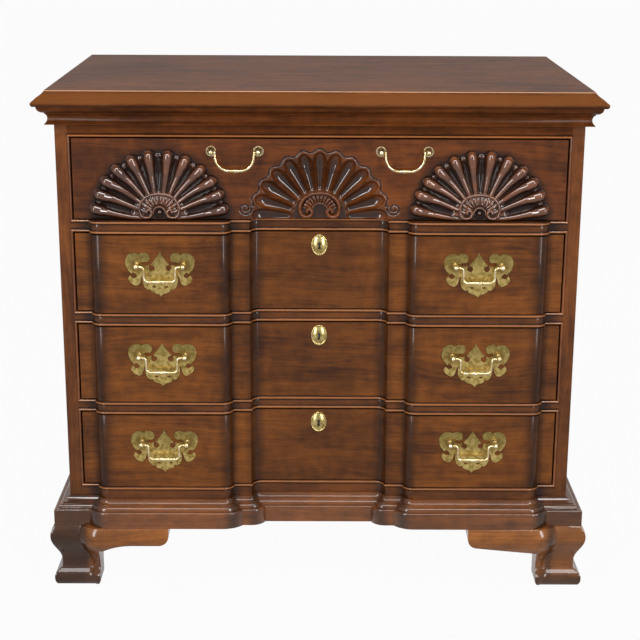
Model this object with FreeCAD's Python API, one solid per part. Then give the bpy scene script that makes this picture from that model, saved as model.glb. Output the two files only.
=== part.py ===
"""Block front chest: four full-width drawers, carved shells, ogee bracket feet.

Millimetres. Z is up, the front faces -Y and X runs to the right. The pieces are drawn with y = 0
at the flat face of the case front and are moved back on export, so that the origin lies on the
floor under the middle of the chest's box.
"""
import FreeCAD, Part
import math
import os

V = FreeCAD.Vector

# ---------------------------------------------------------------- case
CASE_WIDTH = 851.0
CASE_DEPTH = 514.0
SIDE_THICK = 20.0
DADO = 6.0
BACK_THICK = 10.0
BACK_REBATE = 10.0
BOTTOM_THICK = 18.0
RAIL_DEPTH = 60.0
BOTTOM_RAIL_DEPTH = 40.0
TOP_RAIL_DEPTH = 25.0

# ---------------------------------------------------------------- heights, from the floor up
FOOT_HEIGHT = 110.5
BASE_HEIGHT = 45.0
BOTTOM_RAIL = 21.0
OPENING_4 = 131.8
OPENING_3 = 133.3
OPENING_2 = 134.3
OPENING_1 = 134.9
DIVIDER = 20.7
TOP_RAIL = 51.6
TOP_THICK = 24.0
CORNICE_HEIGHT = 30.5

# ---------------------------------------------------------------- plan of the blocked front
BLOCK = 17.0
STILE_FLAT = 51.5
BLOCK_INNER = 145.5
RECESS_EDGE = 114.5
BEAD_HEIGHT = 4.4
STILE_BEAD = 3.6
BEAD_PROUD = 2.4
BEAD_FLAT = 0.7
BEAD_DEPTH = 10.0
QUIRK = 1.2
QUIRK_DEEP = 0.9

# ---------------------------------------------------------------- top board edge, out and down
TOP_OVERHANG = 31.4
TOP_BACK_OVERHANG = 10.0
TOP_FLAT_OUT = 12.0
TOP_FILLET = 1.2
TOP_OGEE_DROP = 16.0
TOP_OGEE_SAG = 0.45
TOP_NOSE_STEP = 2.6
TOP_NOSE_DROP = 20.3
TOP_UNDER_OUT = 25.0

# ---------------------------------------------------------------- cornice, proud of the case
CORNICE_LIP = 13.0
CORNICE_LIP_EDGE = 1.6
CORNICE_COVE_DEEP = 8.6
CORNICE_COVE_TOP = 17.4
CORNICE_FILLET = 2.0
CORNICE_OVOLO = 11.1

# ---------------------------------------------------------------- base moulding, down from its top
BASE_PROUD = 25.0
BASE_FILLET_OUT = 3.5
BASE_FILLET_DROP = 2.5
BASE_COVE = 5.5
BASE_FILLET_STEP = 2.0
BASE_OVOLO = 6.5
BASE_EDGE_ROUND = 3.0

# ---------------------------------------------------------------- ogee bracket feet
FOOT_TOP_OUT = 25.5
FOOT_BULGE = 32.0
FOOT_BULGE_DROP = 21.0
FOOT_NECK = 15.5
FOOT_NECK_DROP = 69.5
FOOT_TOE = 28.0
FOOT_TOE_HEIGHT = 12.5
FOOT_SOLE_OUT = 24.0
FOOT_INSIDE = 14.0
FOOT_BLOCK_EXTRA = 14.0
FOOT_BLOCK_TOE = 4.0
LEG_WIDTH = 51.0
LEG_SOLE = 46.0
LEG_ROUND_HEIGHT = 12.0
BRACKET_LENGTH = 171.0
BRACKET_CUSP = 59.0
BRACKET_CUSP_HEIGHT = 67.5
BRACKET_FLAT_START = 108.0
BRACKET_FLAT_HEIGHT = 81.0
SLANT_LEG_HEIGHT = 63.5
BRACKET_END_ROUND = 18.0
SLANT_END_HEIGHT = 77.0
GLUE_BLOCK = 26.0
GLUE_BLOCK_LIFT = 3.0
REAR_BRACKET_THICK = 18.0
REAR_BRACKET_LENGTH = 120.0

# ---------------------------------------------------------------- drawers
FRONT_GAP_SIDE = 2.5
FRONT_GAP_BOTTOM = 1.3
FRONT_GAP_TOP = 2.4
FRONT_BACK = 32.0
SIDE_BOARD = 12.0
BACK_BOARD = 12.0
BOTTOM_BOARD = 8.0
BOTTOM_LIFT = 9.0
GROOVE = 5.0
GROOVE_PLAY = 0.1
SIDE_TOP_GAP = 6.0
BACK_TOP_GAP = 12.0
DRAWER_REAR_GAP = 10.0
RUN_GAP = 0.3
TAILS = 4
TAIL_LENGTH = 16.0
TAIL_FLARE = 2.0

# ---------------------------------------------------------------- runners and stops
RUNNER_WIDTH = 30.0
GUIDE_GAP = 1.0
GUIDE_HEIGHT = 15.0
STOP_LENGTH = 40.0
STOP_DEPTH = 20.0
STOP_THICK = 5.0
STOP_PLACE = 300.0
STOP_GAP = 0.3
REAR_RAIL = 25.0

# ---------------------------------------------------------------- carved shells
SHELL_RADIUS = 113.0
SHELL_LOBES = 12
SHELL_RISE = 17.0
SHELL_LIFT = 0.5
CARVED_RADIUS = 110.0
CARVED_FLUTES = 13
CARVED_FLUTE_PITCH = 14.4
HUB_RADIUS = 30.0
HUB_ROPE = 3.6

# ---------------------------------------------------------------- pulls
TOP_PULL_PLACE = 136.8
POST_SPACING = 76.2
POST_RISE = 14.7
PULL_LIFT = 1.1
TOP_POST_DROP = 21.9
PLATE_THICK = 1.6
POST_STAND = 15.0
POST_BALL = 4.2
TOP_POST_BALL = 4.2
POST_NECK = 3.2
POST_FLANGE = 5.0
BOLT_RADIUS = 2.2
BOLT_PLAY = 0.3
NUT_RADIUS = 5.0
NUT_THICK = 4.0
ROSETTE_RADIUS = 8.5
ROSETTE_THICK = 3.0
PIN_RADIUS = 1.6
PIN_PLAY = 0.08
PIN_END = 37.2
BAIL_RADIUS = 1.9
BAIL_DROP = 25.4
BAIL_HALF = 25.6
BAIL_FOOT_BEND = 7.5
BAIL_NECK_BEND = 5.0
BAIL_SWELL = 2.5
BAIL_KNOP = 3.2
SWAN_RADIUS = 2.05
SWAN_DROP = 30.2
SWAN_HALF = 31.5

# ---------------------------------------------------------------- locks and escutcheons
ESC_WIDTH = 27.0
ESC_HEIGHT = 35.5
ESC_DROP = 24.8
ESC_THICK = 4.0
KEY_ROUND = 2.7
KEY_SLOT = 2.2
KEY_FLARE = 4.4
KEY_DROP = 9.0
LOCK_WIDTH = 56.0
LOCK_HEIGHT = 40.0
LOCK_DEPTH = 11.0
BOLT_WIDTH = 16.0
BOLT_THICK = 4.0
BOLT_HEIGHT = 18.0

# ---------------------------------------------------------------- worked-out places
HALF = CASE_WIDTH / 2
INSIDE = HALF - SIDE_THICK
Z_BASE = FOOT_HEIGHT
Z_CASE = Z_BASE + BASE_HEIGHT
OPENINGS = {}
level = Z_CASE + BOTTOM_RAIL
for number, height in ((4, OPENING_4), (3, OPENING_3), (2, OPENING_2), (1, OPENING_1)):
    OPENINGS[number] = (level, level + height)
    level += height + DIVIDER
Z_RAIL = OPENINGS[1][1]
Z_TOP = Z_RAIL + TOP_RAIL
HEIGHT = Z_TOP + TOP_THICK
BEAD_INSIDE = INSIDE - STILE_BEAD
FRONT_HALF = BEAD_INSIDE - FRONT_GAP_SIDE
DRAWER_BACK = CASE_DEPTH - BACK_THICK - DRAWER_REAR_GAP
BLOCK_OUTER = HALF - STILE_FLAT
BLOCK_FLAT_OUTER = BLOCK_OUTER - BLOCK
BLOCK_FLAT_INNER = BLOCK_INNER + BLOCK
RECESS_FLAT = RECESS_EDGE - BLOCK
PULL_PLACE = (BLOCK_OUTER + BLOCK_INNER) / 2
FRONT_REACH = BLOCK + FOOT_BULGE
BACK_REACH = CASE_DEPTH + TOP_BACK_OVERHANG
TO_MIDDLE = (FRONT_REACH - BACK_REACH) / 2


# ---------------------------------------------------------------- small helpers
def box(x0, x1, y0, y1, z0, z1):
    """Block between two corners."""
    return Part.makeBox(x1 - x0, y1 - y0, z1 - z0, V(x0, y0, z0))


def fuse(shapes):
    """One clean solid from overlapping or touching ones."""
    return shapes[0].multiFuse(shapes[1:]).removeSplitter() if len(shapes) > 1 else shapes[0]


def cut(shape, tools):
    """Shape less all the tools."""
    return shape.cut(tools) if tools else shape


def mirrored(shape):
    """The same shape on the other side of the middle."""
    return shape.mirror(V(0, 0, 0), V(1, 0, 0))


def both(shape):
    """The shape and its mirror image."""
    return [shape, mirrored(shape)]


def cylinder(start, end, radius):
    """Round bar from one point to another."""
    axis = end.sub(start)
    return Part.makeCylinder(radius, axis.Length, start, axis)


def cone(start, end, radius_start, radius_end):
    """Tapered bar from one point to another."""
    axis = end.sub(start)
    return Part.makeCone(radius_start, radius_end, axis.Length, start, axis)


def ball(centre, radius):
    """Sphere about a point."""
    return Part.makeSphere(radius, centre)


def path_of(spans, place):
    """Wire from spans, each a list of points: 2 a line, 3 an arc, more a smooth curve."""
    edges = []
    for span in spans:
        points = [place(*point) for point in span]
        if len(points) == 2:
            edges.append(Part.makeLine(points[0], points[1]))
        elif len(points) == 3:
            edges.append(Part.Arc(points[0], points[1], points[2]).toShape())
        else:
            curve = Part.BSplineCurve()
            curve.interpolate(points)
            edges.append(curve.toShape())
    return Part.Wire(edges)


def outline(spans, place):
    """Closed face inside a ring of spans."""
    return Part.Face(path_of(spans, place))


def polygon(points):
    """Straight spans round a list of points."""
    return [[a, b] for a, b in zip(points, points[1:] + points[:1])]


def along_x(spans, x0, x1, y=0.0):
    """Section in (out, z) run along the front; out points to -Y."""
    return outline(spans, lambda p, z: V(x0, y - p, z)).extrude(V(x1 - x0, 0, 0))


def along_y(spans, y0, y1, x, side):
    """Section in (out, z) run along a side; out points to side * X."""
    return outline(spans, lambda p, z: V(x + side * p, y0, z)).extrude(V(0, y1 - y0, 0))


def plate_xz(spans, y0, y1, x=0.0, z=0.0, side=1.0):
    """Outline in (x, z) given a thickness along Y."""
    return outline(spans, lambda a, b: V(x + side * a, y0, z + b)).extrude(V(0, y1 - y0, 0))


def turned(spans, x, y, radius, start, sweep):
    """Section in (out, z) swung about an upright axis; start is its angle from +X."""
    angle = math.radians(start)
    face = outline(
        spans,
        lambda p, z: V(x + (radius + p) * math.cos(angle), y + (radius + p) * math.sin(angle), z),
    )
    return face.revolve(V(x, y, 0), V(0, 0, 1), sweep)


def hollow_turned(spans, x, y, radius, start, sweep):
    """As turned, with the section pointing towards the axis."""
    angle = math.radians(start)
    face = outline(
        spans,
        lambda p, z: V(x + (radius - p) * math.cos(angle), y + (radius - p) * math.sin(angle), z),
    )
    return face.revolve(V(x, y, 0), V(0, 0, 1), sweep)


# ---------------------------------------------------------------- the blocked plan
def plan_arc(x, radius, side, front):
    """Quarter bend of the blocked plan about (x, 0), from y = front to its crest."""
    rest = math.sqrt(radius ** 2 - front ** 2)
    crest = -radius if side < 0 else radius
    bend = math.radians(45)
    return [(x, crest), (x + radius * math.cos(bend), math.copysign(radius * math.sin(bend), crest)),
            (x + rest, front)]


def blocked_slab(half, back, z0, z1, inset=0.0):
    """Board whose front follows the blocked plan, set back by inset, with a straight back."""
    hollow = plan_arc(RECESS_FLAT, BLOCK + inset, 1, inset)
    outer = plan_arc(BLOCK_FLAT_OUTER, BLOCK - inset, -1, inset)
    inner = [(2 * BLOCK_FLAT_INNER - x, y)
             for x, y in reversed(plan_arc(BLOCK_FLAT_INNER, BLOCK - inset, -1, inset))]
    points = [
        hollow,
        [hollow[-1], inner[0]],
        inner,
        [inner[-1], outer[0]],
        outer,
        [outer[-1], (half, inset)],
        [(half, inset), (half, back)],
    ]
    left = [[(-x, y) for x, y in reversed(span)] for span in reversed(points)]
    spans = left + [[(-RECESS_FLAT, BLOCK + inset), (RECESS_FLAT, BLOCK + inset)]] + points
    spans += [[(half, back), (-half, back)]]
    return outline(spans, lambda x, y: V(x, y, z0)).extrude(V(0, 0, z1 - z0))


def blocked_run(spans, half, cove_spans=None):
    """Moulding section, out from the blocked face, taken along the whole blocked front."""
    pieces = []
    recess_end = RECESS_EDGE if cove_spans else RECESS_FLAT
    for solid in (
        along_x(spans, BLOCK_FLAT_OUTER, half),
        along_x(spans, BLOCK_FLAT_INNER, BLOCK_FLAT_OUTER, -BLOCK),
        along_x(spans, RECESS_EDGE, BLOCK_FLAT_INNER),
        turned(spans, BLOCK_FLAT_OUTER, 0, BLOCK, -90, 90),
        turned(spans, BLOCK_FLAT_INNER, 0, BLOCK, 180, 90),
        turned(spans, RECESS_EDGE, 0, 0, 180, 90),
        hollow_turned(cove_spans or spans, RECESS_FLAT, 0, BLOCK, 0, 90),
    ):
        pieces += both(solid)
    pieces.append(along_x(spans, -recess_end, recess_end, BLOCK))
    return pieces


def bead_section(z, height=BEAD_HEIGHT):
    """Half-round bead in (out, z), from z up."""
    return [
        [(0, z), (BEAD_FLAT, z)],
        [(BEAD_FLAT, z), (BEAD_PROUD, z + height / 2), (BEAD_FLAT, z + height)],
        [(BEAD_FLAT, z + height), (0, z + height)],
        [(0, z + height), (0, z)],
    ]


def bead_corner(z_edge, upward):
    """Wedge at an opening's corner, where the upright bead is mitred over a rail's bead."""
    reach = BEAD_HEIGHT if upward else -BEAD_HEIGHT
    points = [(BEAD_INSIDE, z_edge), (INSIDE, z_edge), (INSIDE, z_edge + reach)]
    return plate_xz(polygon(points), -BEAD_PROUD, 0)


# ---------------------------------------------------------------- case
def side_panel(side):
    """Side board with dados for the rails, bottom and a rebate for the back."""
    x0, x1 = sorted((side * INSIDE, side * HALF))
    board = box(x0, x1, 0, CASE_DEPTH, Z_BASE, Z_TOP)
    reach = side * (INSIDE + DADO)
    inner = side * INSIDE
    a, b = sorted((inner, reach))
    tools = []
    for number in (2, 3, 4):
        top = OPENINGS[number][1] + DIVIDER
        tools.append(box(a, b, DADO, RAIL_DEPTH, OPENINGS[number][1], top))
    z = OPENINGS[4][0]
    tools.append(box(a, b, DADO, BOTTOM_RAIL_DEPTH, Z_CASE, z))
    tools.append(box(a, b, BOTTOM_RAIL_DEPTH, CASE_DEPTH - BACK_THICK, z - BOTTOM_THICK, z))
    tools.append(box(a, b, DADO, TOP_RAIL_DEPTH, Z_RAIL, Z_TOP))
    c, d = sorted((inner, side * (INSIDE + BACK_REBATE)))
    tools.append(box(c, d, CASE_DEPTH - BACK_THICK, CASE_DEPTH, Z_BASE, Z_TOP))
    return cut(board, tools)


def tongues(y1, z0, z1):
    """The two ends of a rail that sit in the sides' dados."""
    return both(box(INSIDE, INSIDE + DADO, DADO, y1, z0, z1))


def corner_wedges(z_edge, upward):
    """Both upright beads' mitres, to leave out of a rail's bead."""
    return both(bead_corner(z_edge, upward))


def beaded_slab(back, z0, z1, below, above):
    """Blocked rail with a bead and its quirk along the lower edge, the upper edge or both."""
    low = z0 + (BEAD_HEIGHT if below else 0)
    high = z1 - (BEAD_HEIGHT if above else 0)
    flat_low = low + (QUIRK if below else 0)
    flat_high = high - (QUIRK if above else 0)
    pieces = [blocked_slab(INSIDE, back, flat_low, flat_high)]
    if below:
        pieces.append(blocked_slab(INSIDE, back, z0, low))
        pieces.append(blocked_slab(INSIDE, back, low, flat_low, QUIRK_DEEP))
        pieces += blocked_run(bead_section(z0), INSIDE)
    if above:
        pieces.append(blocked_slab(INSIDE, back, high, z1))
        pieces.append(blocked_slab(INSIDE, back, flat_high, high, QUIRK_DEEP))
        pieces += blocked_run(bead_section(high), INSIDE)
    return fuse(pieces + tongues(back, z0, z1))


def divider_rail(below):
    """Blocked rail over opening number below, beaded along both edges."""
    z0 = OPENINGS[below][1]
    z1 = z0 + DIVIDER
    rail = beaded_slab(RAIL_DEPTH, z0, z1, True, True)
    return cut(rail, corner_wedges(z0, True) + corner_wedges(z1, False))


def bottom_rail():
    """Blocked rail under the lowest drawer, beaded along its top."""
    z1 = OPENINGS[4][0]
    rail = beaded_slab(BOTTOM_RAIL_DEPTH, Z_CASE, z1, False, True)
    return cut(rail, corner_wedges(z1, False))


def top_rail():
    """Straight rail over the top drawer, beaded along its lower edge."""
    pieces = [box(-INSIDE, INSIDE, 0, TOP_RAIL_DEPTH, Z_RAIL, Z_TOP)]
    pieces += tongues(TOP_RAIL_DEPTH, Z_RAIL, Z_TOP)
    pieces.append(along_x(bead_section(Z_RAIL), -INSIDE, INSIDE))
    z_quirk = Z_RAIL + BEAD_HEIGHT
    quirk = box(-INSIDE, INSIDE, -1, QUIRK_DEEP, z_quirk, z_quirk + QUIRK)
    return cut(fuse(pieces), corner_wedges(Z_RAIL, True) + [quirk])


def stile_beads():
    """Upright beads inside the case sides, one each side of every opening."""
    beads = []
    for z0, z1 in OPENINGS.values():
        strip = box(BEAD_INSIDE, INSIDE, 0, BEAD_DEPTH, z0, z1)
        middle = (BEAD_INSIDE + INSIDE) / 2
        round_face = outline(
            [
                [(BEAD_INSIDE, 0), (BEAD_INSIDE, -BEAD_FLAT)],
                [(BEAD_INSIDE, -BEAD_FLAT), (middle, -BEAD_PROUD), (INSIDE, -BEAD_FLAT)],
                [(INSIDE, -BEAD_FLAT), (INSIDE, 0)],
                [(INSIDE, 0), (BEAD_INSIDE, 0)],
            ],
            lambda x, y: V(x, y, z0 - BEAD_HEIGHT),
        )
        bead = round_face.extrude(V(0, 0, z1 - z0 + 2 * BEAD_HEIGHT))
        mitre = polygon(
            [(BEAD_INSIDE, z0), (INSIDE, z0 - BEAD_HEIGHT), (INSIDE, z1 + BEAD_HEIGHT),
             (BEAD_INSIDE, z1)]
        )
        bead = bead.common(plate_xz(mitre, -BEAD_PROUD, 0))
        beads += both(fuse([strip, bead]))
    return beads


def back_panel():
    """Thin board in the sides' rebates."""
    half = INSIDE + BACK_REBATE
    return box(-half, half, CASE_DEPTH - BACK_THICK, CASE_DEPTH, Z_BASE + BOTTOM_RAIL, Z_TOP)


def bottom_board():
    """Case bottom, level with the bottom rail, in the sides' dados."""
    half = INSIDE + DADO
    z1 = OPENINGS[4][0]
    return box(-half, half, BOTTOM_RAIL_DEPTH, CASE_DEPTH - BACK_THICK, z1 - BOTTOM_THICK, z1)


def rear_top_rail():
    """Rail along the top of the back."""
    y1 = CASE_DEPTH - BACK_THICK
    return box(-INSIDE, INSIDE, y1 - REAR_RAIL, y1, Z_TOP - REAR_RAIL, Z_TOP)


def drawer_runners():
    """Runners behind the dividers with side guides, guides on the bottom, and top kickers."""
    guide_inside = FRONT_HALF + GUIDE_GAP
    y1 = CASE_DEPTH - BACK_THICK
    solids = []
    for number in (1, 2, 3):
        z1 = OPENINGS[number][0]
        runner = box(INSIDE - RUNNER_WIDTH, INSIDE, RAIL_DEPTH, y1, z1 - DIVIDER, z1)
        guide = box(guide_inside, INSIDE, RAIL_DEPTH, y1, z1, z1 + GUIDE_HEIGHT)
        solids += both(fuse([runner, guide]))
    z = OPENINGS[4][0]
    solids += both(box(guide_inside, INSIDE, BOTTOM_RAIL_DEPTH, y1, z, z + GUIDE_HEIGHT))
    solids += both(
        box(INSIDE - RUNNER_WIDTH, INSIDE, TOP_RAIL_DEPTH, y1 - REAR_RAIL, Z_RAIL, Z_RAIL + DIVIDER)
    )
    return solids


def drawer_stops():
    """Small blocks behind each drawer front, two to a drawer."""
    solids = []
    y0 = FRONT_BACK + STOP_GAP
    for z0, _ in OPENINGS.values():
        solids += both(
            box(STOP_PLACE, STOP_PLACE + STOP_LENGTH, y0, y0 + STOP_DEPTH, z0, z0 + STOP_THICK)
        )
    return solids


# ---------------------------------------------------------------- top and mouldings
def top_edge(back, top):
    """Moulded edge of the top board in (out, z), closed at out = -back."""
    ogee_out = TOP_OVERHANG - TOP_NOSE_STEP
    mid_out = (TOP_FLAT_OUT + ogee_out) / 2
    mid_drop = (TOP_FILLET + TOP_OGEE_DROP) / 2
    sag = TOP_OGEE_SAG
    return [
        [(-back, top - TOP_THICK), (-back, top)],
        [(-back, top), (TOP_FLAT_OUT, top)],
        [(TOP_FLAT_OUT, top), (TOP_FLAT_OUT, top - TOP_FILLET)],
        [(TOP_FLAT_OUT, top - TOP_FILLET),
         ((TOP_FLAT_OUT + mid_out) / 2 - sag / 2, top - (TOP_FILLET + mid_drop) / 2 - sag),
         (mid_out, top - mid_drop)],
        [(mid_out, top - mid_drop),
         ((mid_out + ogee_out) / 2 + sag / 2, top - (mid_drop + TOP_OGEE_DROP) / 2 + sag),
         (ogee_out, top - TOP_OGEE_DROP)],
        [(ogee_out, top - TOP_OGEE_DROP), (ogee_out + 0.8, top - TOP_OGEE_DROP)],
        [(ogee_out + 0.8, top - TOP_OGEE_DROP), (TOP_OVERHANG, top - TOP_NOSE_DROP),
         (TOP_UNDER_OUT, top - TOP_THICK)],
        [(TOP_UNDER_OUT, top - TOP_THICK), (-back, top - TOP_THICK)],
    ]


def top_board():
    """Top with its moulded front and ends and a plain back edge."""
    spans = top_edge(BACK_REACH, HEIGHT)
    reach = HALF + TOP_OVERHANG
    front = along_x(spans, -reach, reach)
    ends = top_edge(HALF, HEIGHT)
    right = along_y(ends, -TOP_OVERHANG, BACK_REACH, HALF, 1)
    left = along_y(ends, -TOP_OVERHANG, BACK_REACH, -HALF, -1)
    return front.common(fuse([right, left]))


def cornice_section():
    """Ovolo over a cove with a lip, in (out, z)."""
    z0 = Z_TOP - CORNICE_HEIGHT
    z_cove = z0 + CORNICE_COVE_TOP
    z_ovolo = Z_TOP - CORNICE_OVOLO
    bend = CORNICE_OVOLO * math.sqrt(0.5)
    return [
        [(0, z0), (CORNICE_LIP, z0)],
        [(CORNICE_LIP, z0), (CORNICE_LIP, z0 + CORNICE_LIP_EDGE)],
        [(CORNICE_LIP, z0 + CORNICE_LIP_EDGE),
         (CORNICE_COVE_DEEP, z0 + (CORNICE_LIP_EDGE + CORNICE_COVE_TOP) / 2),
         (CORNICE_LIP - CORNICE_FILLET / 2, z_cove)],
        [(CORNICE_LIP - CORNICE_FILLET / 2, z_cove), (CORNICE_LIP, z_cove)],
        [(CORNICE_LIP, z_cove), (CORNICE_LIP, z_ovolo)],
        [(CORNICE_LIP, z_ovolo), (CORNICE_LIP + bend, Z_TOP - bend),
         (CORNICE_LIP + CORNICE_OVOLO, Z_TOP)],
        [(CORNICE_LIP + CORNICE_OVOLO, Z_TOP), (0, Z_TOP)],
        [(0, Z_TOP), (0, z0)],
    ]


def base_section():
    """Base moulding in (out, z): fillet, cove, fillet and ovolo over a rounded upright face."""
    z = Z_CASE - BASE_FILLET_DROP
    cove_in = BASE_COVE * (1 - math.sqrt(0.5))
    out = BASE_FILLET_OUT + BASE_COVE + BASE_FILLET_STEP
    z_step = z - BASE_COVE
    z_ovolo = z_step - BASE_FILLET_STEP
    bend = BASE_OVOLO * math.sqrt(0.5)
    z_edge = z_ovolo - BASE_OVOLO
    edge = BASE_EDGE_ROUND * (1 - math.sqrt(0.5))
    return [
        [(0, Z_CASE), (BASE_FILLET_OUT, Z_CASE)],
        [(BASE_FILLET_OUT, Z_CASE), (BASE_FILLET_OUT, z)],
        [(BASE_FILLET_OUT, z), (BASE_FILLET_OUT + cove_in, z - BASE_COVE + cove_in),
         (BASE_FILLET_OUT + BASE_COVE, z_step)],
        [(BASE_FILLET_OUT + BASE_COVE, z_step), (out, z_step)],
        [(out, z_step), (out, z_ovolo)],
        [(out, z_ovolo), (out + bend, z_ovolo - BASE_OVOLO + bend), (out + BASE_OVOLO, z_edge)],
        [(out + BASE_OVOLO, z_edge), (BASE_PROUD - BASE_EDGE_ROUND, z_edge)],
        [(BASE_PROUD - BASE_EDGE_ROUND, z_edge), (BASE_PROUD - edge, z_edge - edge),
         (BASE_PROUD, z_edge - BASE_EDGE_ROUND)],
        [(BASE_PROUD, z_edge - BASE_EDGE_ROUND), (BASE_PROUD, Z_BASE)],
        [(BASE_PROUD, Z_BASE), (0, Z_BASE)],
        [(0, Z_BASE), (0, Z_CASE)],
    ]


def shallow_base_section():
    """The part of the base moulding that still follows the recess's hollow corner."""
    z = Z_CASE - BASE_FILLET_DROP
    cove_in = BASE_COVE * (1 - math.sqrt(0.5))
    out = BASE_FILLET_OUT + BASE_COVE + BASE_FILLET_STEP
    z_step = z - BASE_COVE
    return [
        [(0, Z_CASE), (BASE_FILLET_OUT, Z_CASE)],
        [(BASE_FILLET_OUT, Z_CASE), (BASE_FILLET_OUT, z)],
        [(BASE_FILLET_OUT, z), (BASE_FILLET_OUT + cove_in, z - BASE_COVE + cove_in),
         (BASE_FILLET_OUT + BASE_COVE, z_step)],
        [(BASE_FILLET_OUT + BASE_COVE, z_step), (out, z_step)],
        [(out, z_step), (out, Z_BASE)],
        [(out, Z_BASE), (0, Z_BASE)],
        [(0, Z_BASE), (0, Z_CASE)],
    ]


def mitre_block(reach, z0, z1, y1):
    """Everything on the front side of the two corner mitres, as deep as y1."""
    far = HALF + reach
    spans = polygon([(-HALF, 0), (-far, -reach), (-far, -far), (far, -far), (far, -reach), (HALF, 0)])
    wedge = outline(spans, lambda x, y: V(x, y, z0)).extrude(V(0, 0, z1 - z0))
    if y1 > 0:
        return fuse([wedge, box(-INSIDE, INSIDE, -1, y1, z0, z1)])
    return wedge


def cornice_front():
    """Front length of the cornice, mitred at both ends."""
    reach = CORNICE_LIP + CORNICE_OVOLO
    run = along_x(cornice_section(), -HALF - reach, HALF + reach)
    return run.common(mitre_block(reach, Z_TOP - CORNICE_HEIGHT, Z_TOP, 0))


def moulding_return(spans, reach, z0, z1, side):
    """Length of moulding along one side, mitred at the front."""
    run = along_y(spans, -reach, CASE_DEPTH, side * HALF, side)
    return run.cut(mitre_block(reach, z0, z1, 0))


def cornice_returns():
    """Both side lengths of the cornice."""
    reach = CORNICE_LIP + CORNICE_OVOLO
    z0 = Z_TOP - CORNICE_HEIGHT
    return [moulding_return(cornice_section(), reach, z0, Z_TOP, side) for side in (-1, 1)]


def base_moulding_front():
    """Blocked base board with its moulded edge, mitred at both ends."""
    run = fuse(blocked_run(base_section(), HALF + BASE_PROUD, shallow_base_section()))
    face = run.common(mitre_block(BASE_PROUD, Z_BASE, Z_CASE, 0))
    hollow = run.common(box(-RECESS_EDGE, RECESS_EDGE, 0, BLOCK, Z_BASE, Z_CASE))
    return fuse([blocked_slab(INSIDE, RAIL_DEPTH, Z_BASE, Z_CASE), face, hollow])


def base_moulding_returns():
    """Both side lengths of the base moulding."""
    return [
        moulding_return(base_section(), BASE_PROUD, Z_BASE, Z_CASE, side) for side in (-1, 1)
    ]


# ---------------------------------------------------------------- feet
def foot_section():
    """Ogee face of a foot in (out, z), closed at the inside of the bracket."""
    top = FOOT_HEIGHT
    bulge = top - FOOT_BULGE_DROP
    neck = top - FOOT_NECK_DROP
    middle = (FOOT_BULGE + FOOT_NECK) / 2
    return [
        [(-FOOT_INSIDE, 0), (-FOOT_INSIDE, top)],
        [(-FOOT_INSIDE, top), (FOOT_TOP_OUT, top)],
        [
            (FOOT_TOP_OUT, top),
            (FOOT_BULGE - 1.2, bulge + FOOT_BULGE_DROP / 2),
            (FOOT_BULGE, bulge),
            (middle + 2.6, (bulge + neck) / 2 + 6),
            (FOOT_NECK + 1.8, neck + 11),
            (FOOT_NECK, neck),
            (FOOT_NECK + 3.2, neck - 13),
            (FOOT_TOE - 2.5, FOOT_TOE_HEIGHT + 9),
            (FOOT_TOE, FOOT_TOE_HEIGHT),
        ],
        [(FOOT_TOE, FOOT_TOE_HEIGHT), (FOOT_TOE - 1.4, FOOT_TOE_HEIGHT / 3), (FOOT_SOLE_OUT, 0)],
        [(FOOT_SOLE_OUT, 0), (-FOOT_INSIDE, 0)],
    ]


def foot_block_section():
    """Ogee face of a foot's blocked part, closed at out = 0; it stands less proud at the toe."""
    bulge = FOOT_HEIGHT - FOOT_BULGE_DROP

    def proud(p, z):
        share = min(z / bulge, 1.0)
        share = share * share * (3 - 2 * share)
        return max(p, 0) + (FOOT_BLOCK_TOE + (BLOCK - FOOT_BLOCK_TOE) * share if p > 0 else 0), z

    return [[proud(p, z) for p, z in span] for span in foot_section()]


def bracket_outline(reach, cusped):
    """Leg and bracket seen square on, in (distance in from the case corner, z)."""
    end = BRACKET_LENGTH
    turn = BRACKET_END_ROUND
    bend = turn * (1 - math.sqrt(0.5))
    if cusped:
        z_end = BRACKET_FLAT_HEIGHT
        under = [
            [(LEG_WIDTH, BRACKET_CUSP_HEIGHT), (BRACKET_CUSP, BRACKET_CUSP_HEIGHT)],
            [
                (BRACKET_CUSP, BRACKET_CUSP_HEIGHT),
                (BRACKET_CUSP + 9, BRACKET_CUSP_HEIGHT + 5),
                (BRACKET_CUSP + 25, BRACKET_FLAT_HEIGHT - 3),
                (BRACKET_FLAT_START, BRACKET_FLAT_HEIGHT),
            ],
            [(BRACKET_FLAT_START, BRACKET_FLAT_HEIGHT), (end - turn, z_end)],
        ]
    else:
        z_end = SLANT_END_HEIGHT
        under = [
            [(LEG_WIDTH, SLANT_LEG_HEIGHT), (end - turn, z_end)],
        ]
    leg_top = under[0][0]
    return [
        [(-reach, 0), (LEG_SOLE, 0)],
        [(LEG_SOLE, 0), (LEG_WIDTH - 1.8, LEG_ROUND_HEIGHT / 3), (LEG_WIDTH, LEG_ROUND_HEIGHT)],
        [(LEG_WIDTH, LEG_ROUND_HEIGHT), leg_top],
    ] + under + [
        [(end - turn, z_end), (end - bend, z_end + bend), (end, z_end + turn)],
        [(end, z_end + turn), (end, FOOT_HEIGHT)],
        [(end, FOOT_HEIGHT), (-reach, FOOT_HEIGHT)],
        [(-reach, FOOT_HEIGHT), (-reach, 0)],
    ]


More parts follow.
